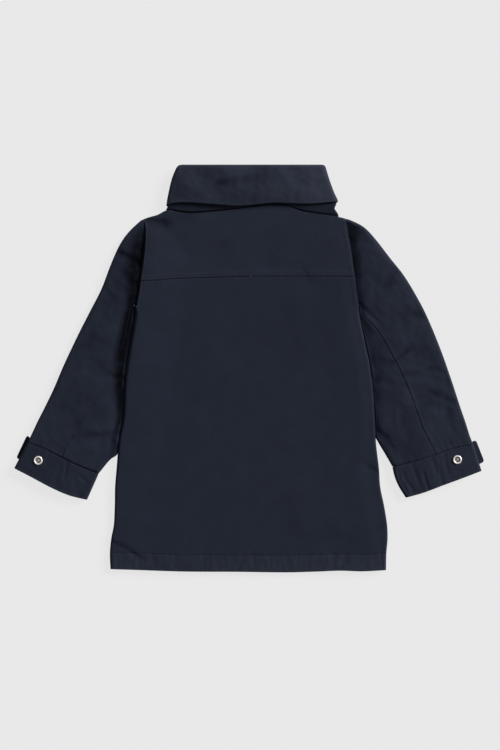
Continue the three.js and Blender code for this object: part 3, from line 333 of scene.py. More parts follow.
class TableCurve:
    """A smooth curve through two columns of a table."""

    def __init__(self, at: Array, value: Array) -> None:
        """Prepares the curve's slopes.

        Args:
            at: rising places.
            value: the curve's value at each place.
        """
        self.at = at
        self.value = value
        before = np.maximum(np.arange(len(at)) - 1, 0)
        after = np.minimum(np.arange(len(at)) + 1, len(at) - 1)
        self.slope = (value[after] - value[before]) / (at[after] - at[before])

    def __call__(self, place: Array | float) -> Array:
        """The curve's value at a place.

        Args:
            place: where to read the curve. It keeps its end values outside the table.

        Returns:
            One value for each place.
        """
        place = np.asarray(place, dtype=float)
        k = np.clip(np.searchsorted(self.at, place) - 1, 0, len(self.at) - 2)
        span = self.at[k + 1] - self.at[k]
        t = np.clip((place - self.at[k]) / span, 0, 1)
        rise = 3 * t * t - 2 * t**3
        leave = t * (1 - t) ** 2
        arrive = t * t * (1 - t)
        ends = lerp(self.value[k], self.value[k + 1], rise)
        return ends + span * (self.slope[k] * leave - self.slope[k + 1] * arrive)


def curve(rows: dict[str, Array], key: str, column: str) -> TableCurve:
    """The smooth curve of one column of a table over another."""
    return TableCurve(rows[key], rows[column])


left_edge = curve(BODY_SECTIONS, "y", "left")
right_edge = curve(BODY_SECTIONS, "y", "right")
left_rim = curve(BODY_SECTIONS, "y", "left_rim")
right_rim = curve(BODY_SECTIONS, "y", "right_rim")
hem_line = curve(HEM_LINE, "x", "y")
yoke_line = curve(YOKE_LINE, "x", "y")
neck_line = curve(NECK_LINE, "x", "y")
fall_line = curve(FALL_LINE, "x", "y")
collar_left = curve(COLLAR_SECTIONS, "y", "left")
collar_right = curve(COLLAR_SECTIONS, "y", "right")


class SmoothNoise:
    """Seeded gradient noise in the plane, from about -1 to 1."""

    CELLS: ClassVar[int] = 64

    def __init__(self, seed: int) -> None:
        """Draws the noise's directions."""
        self.angle = np.random.default_rng(seed).uniform(0, 2 * np.pi, (self.CELLS, self.CELLS))

    def __call__(self, x: Array, y: Array) -> Array:
        """The noise at points of the plane, whose cells are one unit wide."""
        x, y = np.broadcast_arrays(np.asarray(x, dtype=float), np.asarray(y, dtype=float))
        cell_x = np.floor(x).astype(int)
        cell_y = np.floor(y).astype(int)
        in_x = x - cell_x
        in_y = y - cell_y
        ease_x = in_x**3 * (in_x * (6 * in_x - 15) + 10)
        ease_y = in_y**3 * (in_y * (6 * in_y - 15) + 10)

        def corner(step_x: int, step_y: int) -> Array:
            """The share of one corner of the cell."""
            angle = self.angle[(cell_x + step_x) % self.CELLS, (cell_y + step_y) % self.CELLS]
            return np.cos(angle) * (in_x - step_x) + np.sin(angle) * (in_y - step_y)

        low = lerp(corner(0, 0), corner(1, 0), ease_x)
        high = lerp(corner(0, 1), corner(1, 1), ease_x)
        return 1.4 * lerp(low, high, ease_y)


@dataclass(frozen=True)
class Crease:
    """A soft trough or ridge along a line in the plan, in millimetres.

    It is steep on the side that lies nearer to the upper right, and gentle on the other.
    """

    x1: float
    y1: float
    x2: float
    y2: float
    width: float
    height: float
    lip: float = 0.0
    bow: float = 0.0

    LIP_PLACE: ClassVar[float] = 1.7
    END_SHARE: ClassVar[float] = 0.3
    END_LEAST: ClassVar[float] = 3.0
    STEEP: ClassVar[float] = 0.8
    GENTLE: ClassVar[float] = 2.1

    def __call__(self, x: Array, y: Array) -> Array:
        """Height of the crease at points of the plan."""
        run_x = self.x2 - self.x1
        run_y = self.y2 - self.y1
        length = math.hypot(run_x, run_y)
        along = ((x - self.x1) * run_x + (y - self.y1) * run_y) / length
        aside = ((x - self.x1) * run_y - (y - self.y1) * run_x) / length
        share = np.clip(along / length, 0, 1)
        aside = aside - 4 * self.bow * share * (1 - share)
        past = np.maximum(np.maximum(-along, along - length), 0)
        fade = bell(past, self.END_SHARE * length + self.END_LEAST)
        steep_side = np.sign(run_y * UPPER_RIGHT[0] - run_x * UPPER_RIGHT[1])
        spread = np.where(aside * steep_side > 0, self.STEEP, self.GENTLE)
        trough = self.height * bell(aside, self.width * spread)
        ridge = self.lip * bell(aside - self.LIP_PLACE * self.width, self.width)
        return (trough + ridge) * fade


@dataclass(frozen=True)
class Crumple:
    """Uneven soft creasing all over a piece."""

    size: float
    height: float
    seed: int
    sharp: float = 0.0
    stretch: float = 1.0

    def __call__(self, x: Array, y: Array) -> Array:
        """Height of the crumple at points of the plan."""
        noise = SmoothNoise(self.seed)
        soft = noise(x / self.size, y / self.size / self.stretch)
        folded = 0.5 - 2 * np.abs(noise(x / self.size + 17, y / self.size / self.stretch + 5))
        return self.height * lerp(soft, folded, self.sharp)


def relief(creases: dict[str, Array], crumples: tuple[Crumple, ...]) -> Field:
    """The sum of a piece's creases and crumples as one function of the plan.

    Args:
        creases: a table with a row for each crease.
        crumples: the creasing all over the piece.

    Returns:
        A function of x and y that gives the height.
    """
    parts = [Crease(**dict(zip(creases, row))) for row in zip(*creases.values())]

    def height(x: Array, y: Array) -> Array:
        """Height of the relief at points of the plan."""
        return sum((part(x, y) for part in (*parts, *crumples)), np.zeros(np.shape(x)))

    return height


class MaterialNodes:
    """A new material whose nodes a finish adds one by one."""

    def __init__(self, name: str, colour: Colour) -> None:
        """Makes the material with its usual shader.

        Args:
            name: the material's name.
            colour: its colour in a plain view.
        """
        self.made = bpy.data.materials.new(name)
        self.made.use_nodes = True
        self.made.diffuse_color = (*colour, 1)
        self.tree = self.made.node_tree
        self.shader = self.tree.nodes["Principled BSDF"]

    def feed(self, node: bpy.types.Node, inputs: dict[str | int, Value]) -> None:
        """Sets a node's inputs, each to a constant or from another node's output."""
        for name, value in inputs.items():
            if isinstance(value, bpy.types.NodeSocket):
                self.tree.links.new(value, node.inputs[name])
            else:
                node.inputs[name].default_value = value

    def add(self, kind: str, inputs: dict[str | int, Value], **settings: str) -> bpy.types.Node:
        """Adds a node.

        Args:
            kind: the node's type, without the words that all types share.
            inputs: constants or other nodes' outputs, under the inputs' names or places.
            settings: the node's own choices.

        Returns:
            The new node.
        """
        node = self.tree.nodes.new("ShaderNode" + kind)
        for name, value in settings.items():
            setattr(node, name, value)
        self.feed(node, inputs)
        return node


@dataclass(frozen=True)
class ClothFinish:
    """Washed cotton twill, woven of fine yarn. Sizes in millimetres. Where a piece's measure is below zero,
    its colour is darkened and its shine dulled as painted shade; above zero it is lightened, partly as worn
    cloth and partly as painted light.
    """

    name: str
    colour: Colour
    worn: Colour
    painted_shade_share: float = 0.14
    painted_shade_shine: float = 0.25
    roughness: float = 0.86
    specular: float = 0.12
    sheen: float = 0.06
    mottle: float = 0.10
    cloud_size: float = 26.0
    fleck_size: float = 1.6
    fleck_share: float = 0.45
    yarn: float = 0.55
    yarn_bump: float = 0.22
    yarn_height: float = 0.12
    nap_size: float = 5.5
    nap_bump: float = 0.5
    nap_height: float = 0.35

    WAVE_SCALE: ClassVar[float] = 0.31

    def material(self) -> bpy.types.Material:
        """Builds the finish's material from nodes.

        Returns:
            The material. It reads each piece's own grain from the mesh, and a measure that holds both worn
            lightening and painted light and shade.
        """
        nodes = MaterialNodes(self.name, self.colour)
        grain = nodes.add("Attribute", {}, attribute_name="grain").outputs["Vector"]
        wear_and_painted_light = nodes.add("Attribute", {}, attribute_name="wear_and_painted_light").outputs["Fac"]

        def noise(size: float, detail: float) -> bpy.types.NodeSocket:
            """Noise over the piece's own grain, with cells of a size in millimetres."""
            inputs = {"Scale": 1 / size, "Detail": detail, "Vector": grain}
            return nodes.add("TexNoise", inputs).outputs["Fac"]

        both = nodes.add(
            "Math", {0: noise(self.fleck_size, 2), 1: self.fleck_share, 2: noise(self.cloud_size, 3)},
            operation="MULTIPLY_ADD",
        ).outputs[0]
        shade = nodes.add("MapRange", {
            "From Min": 0.45, "From Max": 1.0, "To Min": 1 - self.mottle, "To Max": 1 + self.mottle,
            "Value": both,
        }).outputs["Result"]
        blend = nodes.add(
            "Mix", {"A": (*self.colour, 1), "B": (*self.worn, 1), "Factor": wear_and_painted_light}, data_type="RGBA",
        ).outputs["Result"]
        # Painted shade: below zero the measure mixes the colour towards a dark copy of itself.
        depth = nodes.add("Math", {0: wear_and_painted_light, 1: -1}, operation="MULTIPLY").outputs[0]
        deep = (*(self.painted_shade_share * c for c in self.colour), 1)
        painted_shade_colour = nodes.add(
            "Mix", {"A": blend, "B": deep, "Factor": depth}, data_type="RGBA",
        ).outputs["Result"]
        tint = nodes.add("VectorMath", {0: painted_shade_colour, "Scale": shade}, operation="SCALE").outputs["Vector"]

        twill = nodes.add("TexWave", {
            "Scale": self.WAVE_SCALE / self.yarn, "Distortion": 0.6, "Detail": 1.0, "Detail Scale": 1.5,
            "Vector": grain,
        }, bands_direction="DIAGONAL").outputs["Fac"]
        weave = nodes.add("Bump", {
            "Strength": self.yarn_bump, "Distance": self.yarn_height * METRES, "Height": twill,
        }).outputs["Normal"]
        nap = nodes.add("Bump", {
            "Strength": self.nap_bump, "Distance": self.nap_height * METRES,
            "Height": noise(self.nap_size, 4), "Normal": weave,
        }).outputs["Normal"]
        nodes.feed(nodes.shader, {
            "Roughness": self.roughness, "Specular IOR Level": self.specular, "Sheen Weight": self.sheen,
            "Sheen Roughness": 0.5, "Sheen Tint": (0.55, 0.62, 0.85, 1), "Base Color": tint, "Normal": nap,
        })
        # Painted shade also dulls the specular and the sheen.
        for socket, full in (("Specular IOR Level", self.specular), ("Sheen Weight", self.sheen)):
            dull = nodes.add("MapRange", {"To Min": full, "To Max": self.painted_shade_shine * full, "Value": depth})
            nodes.feed(nodes.shader, {socket: dull.outputs["Result"]})
        return nodes.made


@dataclass(frozen=True)
class ThreadFinish:
    """Sewing thread with its twist."""

    name: str
    colour: Colour
    twist: float = 1400.0

    def material(self) -> bpy.types.Material:
        """Builds the thread's material from nodes."""
        nodes = MaterialNodes(self.name, self.colour)
        place = nodes.add("TexCoord", {}).outputs["Object"]
        twist = nodes.add("TexNoise", {"Scale": self.twist, "Vector": place}).outputs["Fac"]
        ramp = nodes.add("ValToRGB", {"Fac": twist})
        for element, at, share in zip(ramp.color_ramp.elements, (0.3, 0.7), (0.7, 1.2)):
            element.position = at
            element.color = (*(share * c for c in self.colour), 1)
        nodes.feed(nodes.shader, {
            "Roughness": 0.6, "Specular IOR Level": 0.25, "Base Color": ramp.outputs["Color"],
        })
        return nodes.made


@dataclass(frozen=True)
class MetalFinish:
    """Plated metal with a satin surface."""

    name: str
    colour: Colour
    roughness: float
    metallic: float
    smear: float = 900.0

    def material(self) -> bpy.types.Material:
        """Builds the metal's material from nodes."""
        nodes = MaterialNodes(self.name, self.colour)
        place = nodes.add("TexCoord", {}).outputs["Object"]
        smear = nodes.add("TexNoise", {"Scale": self.smear, "Detail": 4, "Vector": place}).outputs["Fac"]
        rough = nodes.add("MapRange", {
            "To Min": self.roughness * 0.7, "To Max": self.roughness * 1.4, "Value": smear,
        })
        nodes.feed(nodes.shader, {
            "Metallic": self.metallic, "Base Color": (*self.colour, 1), "Roughness": rough.outputs["Result"],
        })
        return nodes.made


def grid_faces(index: Array) -> Array:
    """Faces between the neighbours of a grid of point numbers."""
    corners = [index[:-1, :-1], index[:-1, 1:], index[1:, 1:], index[1:, :-1]]
    return np.stack(corners, axis=-1).reshape(-1, 4)


def closed_grid(rows: int, columns: int) -> Array:
    """Point numbers of a grid whose last column is its first again."""
    index = np.arange(rows * columns).reshape(rows, columns)
    return np.hstack([index, index[:, :1]])


def wall_quads(rows: int, columns: int, ring: bool) -> Array:
    """Faces of a closed wall between an outer and an inner grid of points.

    Args:
        rows: rows of each grid.
        columns: columns of each grid.
        ring: whether the last column joins the first.

    Returns:
        Four point numbers for each face, the outer grid's points first.
    """
    index = closed_grid(rows, columns)
    if not ring:
        index = index[:, :-1]
    inner = index + rows * columns

    def quads(a: Array, b: Array, c: Array, d: Array) -> Array:
        """Faces from four arrays of corners."""
        return np.stack([a, b, c, d], axis=-1).reshape(-1, 4)

    parts = [
        grid_faces(index),
        grid_faces(inner)[:, [0, 3, 2, 1]],
        quads(index[0, 1:], index[0, :-1], inner[0, :-1], inner[0, 1:]),
        quads(index[-1, :-1], index[-1, 1:], inner[-1, 1:], inner[-1, :-1]),
    ]
    if not ring:
        parts.append(quads(index[:-1, 0], index[1:, 0], inner[1:, 0], inner[:-1, 0]))
        parts.append(quads(index[1:, -1], index[:-1, -1], inner[:-1, -1], inner[1:, -1]))
    return np.concatenate(parts)


def enclosed_volume(points: Array, quads: Array) -> float:
    """Volume that a closed mesh of quads encloses; negative if it is inside out."""
    a, b, c, d = (points[quads[:, k]] for k in range(4))
    return float(np.sum(a * np.cross(b, c)) + np.sum(a * np.cross(c, d))) / 6


def new_object(name: str, points: Array, faces: Array | list[list[int]]) -> bpy.types.Object:
    """A smooth mesh object in the scene.

    Args:
        name: the piece's name.
        points: corners in millimetres.
        faces: point numbers of each face.

    Returns:
        The new object.
    """
    mesh = bpy.data.meshes.new(name)
    mesh.from_pydata((points * METRES).tolist(), [], np.asarray(faces, dtype=object).tolist())
    mesh.polygons.foreach_set("use_smooth", [True] * len(faces))
    mesh.update()
    made = bpy.data.objects.new(name, mesh)
    bpy.context.scene.collection.objects.link(made)
    return made


def add_measure(made: bpy.types.Object, name: str, values: Array) -> None:
    """Keeps a value or a vector for each point of a mesh under a name."""
    kind = "FLOAT" if values.ndim == 1 else "FLOAT_VECTOR"
    layer = made.data.attributes.new(name, kind, "POINT")
    layer.data.foreach_set("value" if values.ndim == 1 else "vector", values.ravel().tolist())


@dataclass
class Cloth:
    """Two grids of points, the outer and the inner face of one cut piece, with its own measures."""

    outer: Array
    inner: Array
    grain: Array
    wear_and_painted_light: Array
    ring: bool = False

    def build(self, name: str, finish: bpy.types.Material) -> bpy.types.Object:
        """Makes the piece.

        Args:
            name: the piece's name.
            finish: its material.

        Returns:
            The closed shell between the two grids.
        """
        rows, columns = self.outer.shape[:2]
        points = np.concatenate([self.outer.reshape(-1, 3), self.inner.reshape(-1, 3)])
        quads = wall_quads(rows, columns, self.ring)
        if enclosed_volume(points, quads) < 0:
            quads = quads[:, ::-1]
        made = new_object(name, points, quads)
        grain = np.zeros((rows, columns, 3))
        grain[..., :2] = self.grain
        add_measure(made, "grain", np.tile(grain.reshape(-1, 3), (2, 1)))
        add_measure(made, "wear_and_painted_light", np.tile(np.clip(self.wear_and_painted_light, -1, 1).ravel(), 2))
        made.data.materials.append(finish)
        return made


@dataclass(frozen=True)
class Stitching:
    """A line of machine stitches laid on the cloth. Sizes in millimetres."""

    length: float = 2.5
    pitch: float = 3.1
    radius: float = 0.26
    sink: float = 0.10

    SIDES: ClassVar[int] = 6
    RINGS: ClassVar[tuple[tuple[float, float, float], ...]] = (
        (0.0, 0.35, -0.4), (0.12, 0.85, 0.7), (0.5, 1.0, 1.0), (0.88, 0.85, 0.7), (1.0, 0.35, -0.4),
    )

    def build(self, name: str, paths: list[Array], finish: bpy.types.Material) -> bpy.types.Object:
        """Makes the stitches along each path as one mesh.

        Args:
            name: the piece's name.
            paths: points along the cloth's face, in millimetres.
            finish: the thread's material.

        Returns:
            All the stitches.
        """
        pods = []
        for path in paths:
            run = np.concatenate([[0], np.cumsum(np.linalg.norm(np.diff(path, axis=0), axis=1))])
            for k in range(int(run[-1] / self.pitch)):
                start = (k + 0.5) * self.pitch - self.length / 2
                ends = [
                    np.array([np.interp(start + step, run, path[:, axis]) for axis in range(3)])
                    for step in (0, self.length)
                ]
                pods.append(self.pod(*ends))
        quads = self.pod_faces()
        shifts = np.arange(len(pods))[:, None, None] * len(pods[0])
        made = new_object(name, np.concatenate(pods), (quads[None] + shifts).reshape(-1, 4))
        made.data.materials.append(finish)
        return made

    def pod(self, start: Array, end: Array) -> Array:
        """Points of one stitch, a thin pod that dips into the cloth at both ends.

        Args:
            start: where the thread comes out of the cloth.
            end: where it goes in again.

        Returns:
            A ring of points at each station of its length.
        """
        direction = (end - start) / np.linalg.norm(end - start)
        aside = np.cross(direction, (0, 0, 1))
        aside /= np.linalg.norm(aside)
        up = np.cross(aside, direction)
        turn = np.arange(self.SIDES) * 2 * np.pi / self.SIDES
        circle = np.cos(turn)[:, None] * aside + np.sin(turn)[:, None] * up
        return np.concatenate([
            lerp(start, end, share) + up * (self.radius * rise - self.sink) + circle * self.radius * size
            for share, size, rise in self.RINGS
        ])

    def pod_faces(self) -> Array:
        """Faces of one stitch."""
        around = closed_grid(len(self.RINGS), self.SIDES)
        first, last = around[0], around[-1]
        caps = [first[[3, 2, 1, 0]], first[[0, 5, 4, 3]], last[[0, 1, 2, 3]], last[[3, 4, 5, 0]]]
        return np.concatenate([grid_faces(around), np.array(caps)])


def declare(
    made: bpy.types.Object, nodes: tuple[str, ...] = (),
) -> None:
    """Tells the frame what a piece is and reports it.

    Args:
        made: the piece.
        nodes: the CAD nodes that it replaces.
    """
    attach(made, BODY)
    if nodes:
        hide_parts(*nodes)
    log.info("%s: %d faces", made.name, len(made.data.polygons))


def edge_turns(count: int) -> Array:
    """Angles from just inside a folded edge's outermost line to where the cloth has become flat."""
    return np.linspace(math.radians(8), math.pi / 2, count)


def margin_wear(distance: Array, reach: float = 2.2) -> Array:
    """Wear of a cloth edge at a distance from it."""
    return bell(np.maximum(distance, 0), reach)


@dataclass
class Stations:
    """Rows or columns of a body panel. edge is -1 or 1 on a folded edge and 0 between."""

    edge: Array
    turn: Array
    share: Array
    offset: Array
    drop: Array

    @classmethod
    def joined(cls, *parts: dict[str, Array | float]) -> "Stations":
        """Stations from parts, each with some of the five lists; the others are filled in.

        Args:
            parts: lists or single values under the names of the fields.

        Returns:
            All the stations in order.
        """
        filled: dict[str, list[Array]] = {name: [] for name in ("edge", "turn", "share", "offset", "drop")}
        usual = {"edge": 0.0, "turn": math.pi / 2, "share": 0.0, "offset": 0.0, "drop": 0.0}
        for part in parts:
            count = max(np.size(value) for value in part.values())
            for name, values in filled.items():
                values.append(np.broadcast_to(np.asarray(part.get(name, usual[name]), dtype=float), (count,)))
        return cls(**{name: np.concatenate(values) for name, values in filled.items()})


@dataclass
class Body:
    """The back, the yoke and the two fronts."""

    cloth: bpy.types.Material
    yoke_lit_cloth: bpy.types.Material
    thread: bpy.types.Material
    rim_reach: float = 75.0
    rim_flat: float = 6.0
    left_bulge: float = 1.7
    bulge_rise: tuple[float, float] = (-70.0, 30.0)
    bulge_fall: tuple[float, float] = (190.0, 222.0)
    slump: tuple[float, float] = (0.7, 1.5)
    slump_reach: tuple[float, float] = (16.0, 28.0)
    slump_rise: tuple[float, float] = (-270.0, -240.0)
    slump_fall: tuple[float, float] = (-160.0, -60.0)
    neck_aside: tuple[float, float] = (122.0, 152.0)
    neck_rise: tuple[float, float] = (150.0, 214.0)
    inner_margin: float = 14.0
    armhole_fade: float = 14.0
    front_neck_drop: float = 26.0
    fading_and_painted_light: float = 0.12
    hem_groove: float = 0.36
    hem_pucker: float = 0.58
    armhole_stitch: float = 4.2
    yoke_stitch: float = 4.2
    edge_steps: int = 7
    columns: int = 150
    back_rows: int = 165
    crumples: tuple[Crumple, ...] = (
        Crumple(75, 0.36, 3), Crumple(30, 0.13, 4), Crumple(13, 0.05, 5, 0.4),
    )
    pucker_noise: SmoothNoise = field(default_factory=lambda: SmoothNoise(11))

    def __post_init__(self) -> None:
        """Prepares the creases of the back and the yoke."""
        self.creases = relief(BODY_CREASES, self.crumples)

    def height(self, x: Array, y: Array) -> Array:
        """Height of both layers of the body, with its raised side edges and neck."""
        from_left = np.maximum(x - left_edge(y) - self.rim_flat, 0)
        from_right = np.maximum(right_edge(y) - x - self.rim_flat, 0)
        bulge = self.left_bulge * smoothstep(y, *self.bulge_rise) * (1 - smoothstep(y, *self.bulge_fall))
        left = (left_rim(y) + bulge - BODY_HEIGHT) * (1 - smoothstep(from_left, 0, self.rim_reach))
        right = (right_rim(y) - BODY_HEIGHT) * (1 - smoothstep(from_right, 0, self.rim_reach))
        low = smoothstep(y, *self.slump_rise) * (1 - smoothstep(y, *self.slump_fall))
        slump = lerp(*self.slump, low) * (1 - smoothstep(from_right, 0, lerp(*self.slump_reach, low)))
        right = right - slump * (1 - smoothstep(y, ARMHOLE_END_Y, ARMHOLE_END_Y + 60))
        aside = 1 - smoothstep(np.abs(x - CENTRE_X), *self.neck_aside)
        neck = (NECK_HEIGHT - BODY_HEIGHT) * smoothstep(y, *self.neck_rise) * aside
        raised = np.where(x < CENTRE_X, np.maximum(left, neck), np.maximum(right, neck - 2 * slump))
        return BODY_HEIGHT + raised

    def top_relief(self, x: Array, y: Array) -> Array:
        """Height of the creases, puckers and pressed seams of the upper layer."""
        from_hem = y - hem_line(x)
        in_hem = smoothstep(from_hem, 0, 5) * (1 - smoothstep(from_hem, HEM_DEPTH - 1, HEM_DEPTH + 9))
        stitch = bell(from_hem - HEM_DEPTH, 1.1) * (1 + 0.8 * self.pucker_noise(x / 40, 0))
        wide = self.pucker_noise(x / 6.5, from_hem / 34)
        narrow = 0.5 * self.pucker_noise(x / 3.1 + 9, from_hem / 20)
        hem = in_hem * self.hem_pucker * (wide + narrow) - self.hem_groove * stitch
        over_yoke = y - yoke_line(x)
        yoke = YOKE_STEP * (over_yoke > 0) * (1 - smoothstep(over_yoke, YOKE_LAP - 1, YOKE_LAP + 4))
        stitched = -0.18 * bell(over_yoke - self.yoke_stitch, 0.9)
        under = -0.3 * (over_yoke <= 0) * bell(over_yoke, 1.8)
        gathered = 0.16 * self.pucker_noise(x / 7, over_yoke / 18) * bell(over_yoke, 9)
        return self.creases(x, y) + hem + yoke + stitched + under + gathered

    def side_fold(self, y: Array) -> Array:
        """1 where the side is a fold with a seam, 0 where the panel's edge lies on the sleeve."""
        return 1 - smoothstep(y, ARMHOLE_END_Y - self.armhole_fade, ARMHOLE_END_Y)

    def inside_left(self, y: Array) -> Array:
        """x of the first free column."""
        return left_edge(y) + self.inner_margin

    def inside_right(self, y: Array) -> Array:
        """x of the last free column."""
        return right_edge(y) - self.inner_margin

    def front_neck_line(self, x: Array) -> Array:
        """The neckline at the front: lower than at the back, between the ends of the shoulders."""
        share = np.clip((x - NECK_LEFT_X) / (NECK_RIGHT_X - NECK_LEFT_X), 0, 1)
        ends = lerp(neck_line(NECK_LEFT_X), neck_line(NECK_RIGHT_X), share)
        in_neck = (x > NECK_LEFT_X) & (x < NECK_RIGHT_X)
        return np.where(in_neck, ends - self.front_neck_drop * np.sin(np.pi * share) ** 0.8, neck_line(x))

    @staticmethod
    def edge_round(turn: Array, radius: Array, fold: Array, is_outer: bool) -> tuple[Array, Array, Array]:
        """How a panel's folded or lapped edge is rounded.

        Args:
            turn: 0 at the edge's outermost line, a quarter turn where it has become flat.
            radius: half the height of both layers.
            fold: 1 where the edge folds down to the other panel, 0 where it lies on the sleeve.
            is_outer: whether this is the cloth's outer face.

        Returns:
            The distance inside the edge, the share of the height, and the drop below the face.
        """
        small = radius if is_outer else radius - SHELL
        inside = lerp(ROUND * (1 - np.cos(turn)), radius - small * np.cos(turn), fold)
        share = lerp(1.0, np.sin(turn), fold)
        drop = lerp((1 if is_outer else -1) * ROUND * (1 - np.sin(turn)), 0.0, fold)
        return inside, share, drop

    def panel_face(
        self, columns: Stations, rows: Stations, lower: Callable, upper: Callable,
        from_x: Callable, to_x: Callable, on_top: bool, is_outer: bool,
    ) -> Array:
        """Points of one face of a panel.

        Args:
            columns: stations across the panel.
            rows: stations from its lower to its upper edge.
            lower: the lower edge's y at x.
            upper: the upper edge's y at x.
            from_x: x of the first free column at y.
            to_x: x of the last free column at y.
            on_top: whether the panel is the upper layer.
            is_outer: whether this is the cloth's outer face.

        Returns:
            A grid of points in millimetres.
        """
        shape = (len(rows.share), len(columns.share))
        x = np.broadcast_to(lerp(-150, 150, columns.share)[None, :], shape).astype(float)
        y = np.zeros(shape)
        edge = columns.edge[None, :]
        row_edge = rows.edge[:, None]
        along = (np.zeros(shape), np.ones(shape), np.zeros(shape))
        across = along
        for _ in range(SETTLE_STEPS):
            radius = self.height(x, y) / 2
            shoulder = ((x < NECK_LEFT_X) | (x > NECK_RIGHT_X)).astype(float)
            rounded = self.edge_round(rows.turn[:, None], radius, shoulder, is_outer)
            along = tuple(np.where(row_edge == 1, new, old) for new, old in zip(rounded, along))
            free = lerp(lower(x), upper(x), rows.share[:, None]) + rows.offset[:, None]
            y = np.minimum(np.where(row_edge == 1, upper(x) - along[0], free), upper(x))
            across = self.edge_round(columns.turn[None, :], radius, self.side_fold(y), is_outer)
            inset = across[0] + columns.offset[None, :]
            at_side = np.where(edge < 0, left_edge(y) + inset, right_edge(y) - inset)
            x = np.where(edge == 0, lerp(from_x(y), to_x(y), columns.share[None, :]), at_side)
        sides = (edge != 0).astype(float)
        share = along[1] * lerp(1.0, across[1], sides)
        drop = along[2] + sides * across[2] + (1 if is_outer else -1) * rows.drop[:, None]
        middle = self.height(x, y) / 2
        depth = (0 if is_outer else SHELL) + drop
        lift = SEAM_GAP / 2 + (middle - SEAM_GAP / 2 - depth) * share
        if on_top:
            z = middle + lift + self.top_relief(x, y) * share**2
        else:
            z = middle - lift
        return np.stack([x, y, z], axis=-1)

    def panel(self, columns: Stations, rows: Stations, on_top: bool, **shape: Callable) -> Cloth:
        """A body panel from its stations and its bounds."""
        outer, inner = (
            self.panel_face(columns, rows, on_top=on_top, is_outer=is_outer, **shape)
            for is_outer in (True, False)
        )
        x, y = outer[..., 0], outer[..., 1]
        side = np.minimum(x - left_edge(y), right_edge(y) - x)
        wear_and_painted_light = 0.6 * margin_wear(side - 1) * (1 - self.side_fold(y))
        from_hem = y - hem_line(x)
        in_hem = 0.75 * (1 - smoothstep(from_hem, HEM_DEPTH - 2, HEM_DEPTH)) + margin_wear(from_hem)
        # The hem band is lighter towards the right as painted light from the right side, and lighter near its
        # folded edge as worn cloth.
        in_hem = in_hem * lerp(0.6, 1.1, smoothstep(x, -160, 120)) * lerp(1.25, 0.7, from_hem / HEM_DEPTH)
        over_yoke = y - yoke_line(x)
        on_yoke = 0.2 * (over_yoke > 0) * margin_wear(over_yoke, 1.6)
        mottle = 0.75 + 0.5 * self.pucker_noise(x / 9, y / 9)
        wear_and_painted_light = (wear_and_painted_light + in_hem + on_yoke) * mottle
        if on_top:
            # Partly fading, partly painted light and shade: ridges of the creases are lightened and troughs
            # darkened, adding to their shading.
            wear_and_painted_light = wear_and_painted_light + self.fading_and_painted_light * self.creases(x, y)
        return Cloth(outer, inner, outer[..., :2].copy(), wear_and_painted_light)

    def side_columns(self, at_left: bool, at_right: bool, count: int) -> Stations:
        """Columns across a panel: fine at its folded sides, even between them."""
        turns = edge_turns(self.edge_steps)
        insets = np.array([0.9, 1.9, 2.9, 3.6, self.armhole_stitch, 4.8, 5.6, 6.6])
        parts: list[dict[str, Array | float]] = []
        if at_left:
            parts += [{"edge": -1.0, "turn": turns}, {"edge": -1.0, "offset": insets}]
        parts.append({"share": np.linspace(0, 1, count)})
        if at_right:
            parts += [{"edge": 1.0, "offset": insets[::-1], "share": 1.0}]
            parts += [{"edge": 1.0, "turn": turns[::-1], "share": 1.0}]
        return Stations.joined(*parts)

    @staticmethod
    def folded_edge(at_upper: bool) -> dict[str, Array | float]:
        """Rows of a pressed cloth edge at the lower or the upper end of a panel."""
        turns = edge_turns(5)
        inset = ROUND * (1 - np.cos(turns))
        drop = ROUND * (1 - np.sin(turns))
        if at_upper:
            return {"share": 1.0, "offset": -inset[::-1], "drop": drop[::-1]}
        return {"offset": inset, "drop": drop}

    def build_back(self) -> bpy.types.Object:
        """The back panel, with its turned hem."""
        close = np.array([-2.4, -1.5, -0.9, -0.4, 0, 0.4, 0.9, 1.5, 2.4])
        rows = Stations.joined(
            self.folded_edge(False),
            {"offset": np.linspace(2.4, HEM_DEPTH - 4, 9)},
            {"offset": HEM_DEPTH + close},
            {"share": np.linspace(0.07, 0.982, self.back_rows)},
            {"share": 1.0, "offset": np.array([-6.0, -4.4, -3.2, -2.3, -1.6])},
            self.folded_edge(True),
        )
        cloth = self.panel(
            self.side_columns(True, True, self.columns), rows, True,
            lower=hem_line, upper=lambda x: yoke_line(x) - SEAM_GAP / 2,
            from_x=self.inside_left, to_x=self.inside_right,
        )
        return cloth.build("back_panel", self.cloth)

    def build_yoke(self) -> bpy.types.Object:
        """The yoke, whose lower edge is pressed over its seam."""
        rows = Stations.joined(
            self.folded_edge(False),
            {"offset": np.array([1.4, 2.2, 3.0, 3.6, 4.2, 4.8, 5.6, 6.6, 7.8, 9.2])},
            {"share": np.linspace(0.125, 0.93, 40)},
            {"edge": 1.0, "turn": edge_turns(9)[::-1], "share": 1.0},
        )
        cloth = self.panel(
            self.side_columns(True, True, self.columns), rows, True,
            lower=lambda x: yoke_line(x) + SEAM_GAP / 2, upper=neck_line,
            from_x=self.inside_left, to_x=self.inside_right,
        )
        return cloth.build("yoke_panel", self.yoke_lit_cloth)

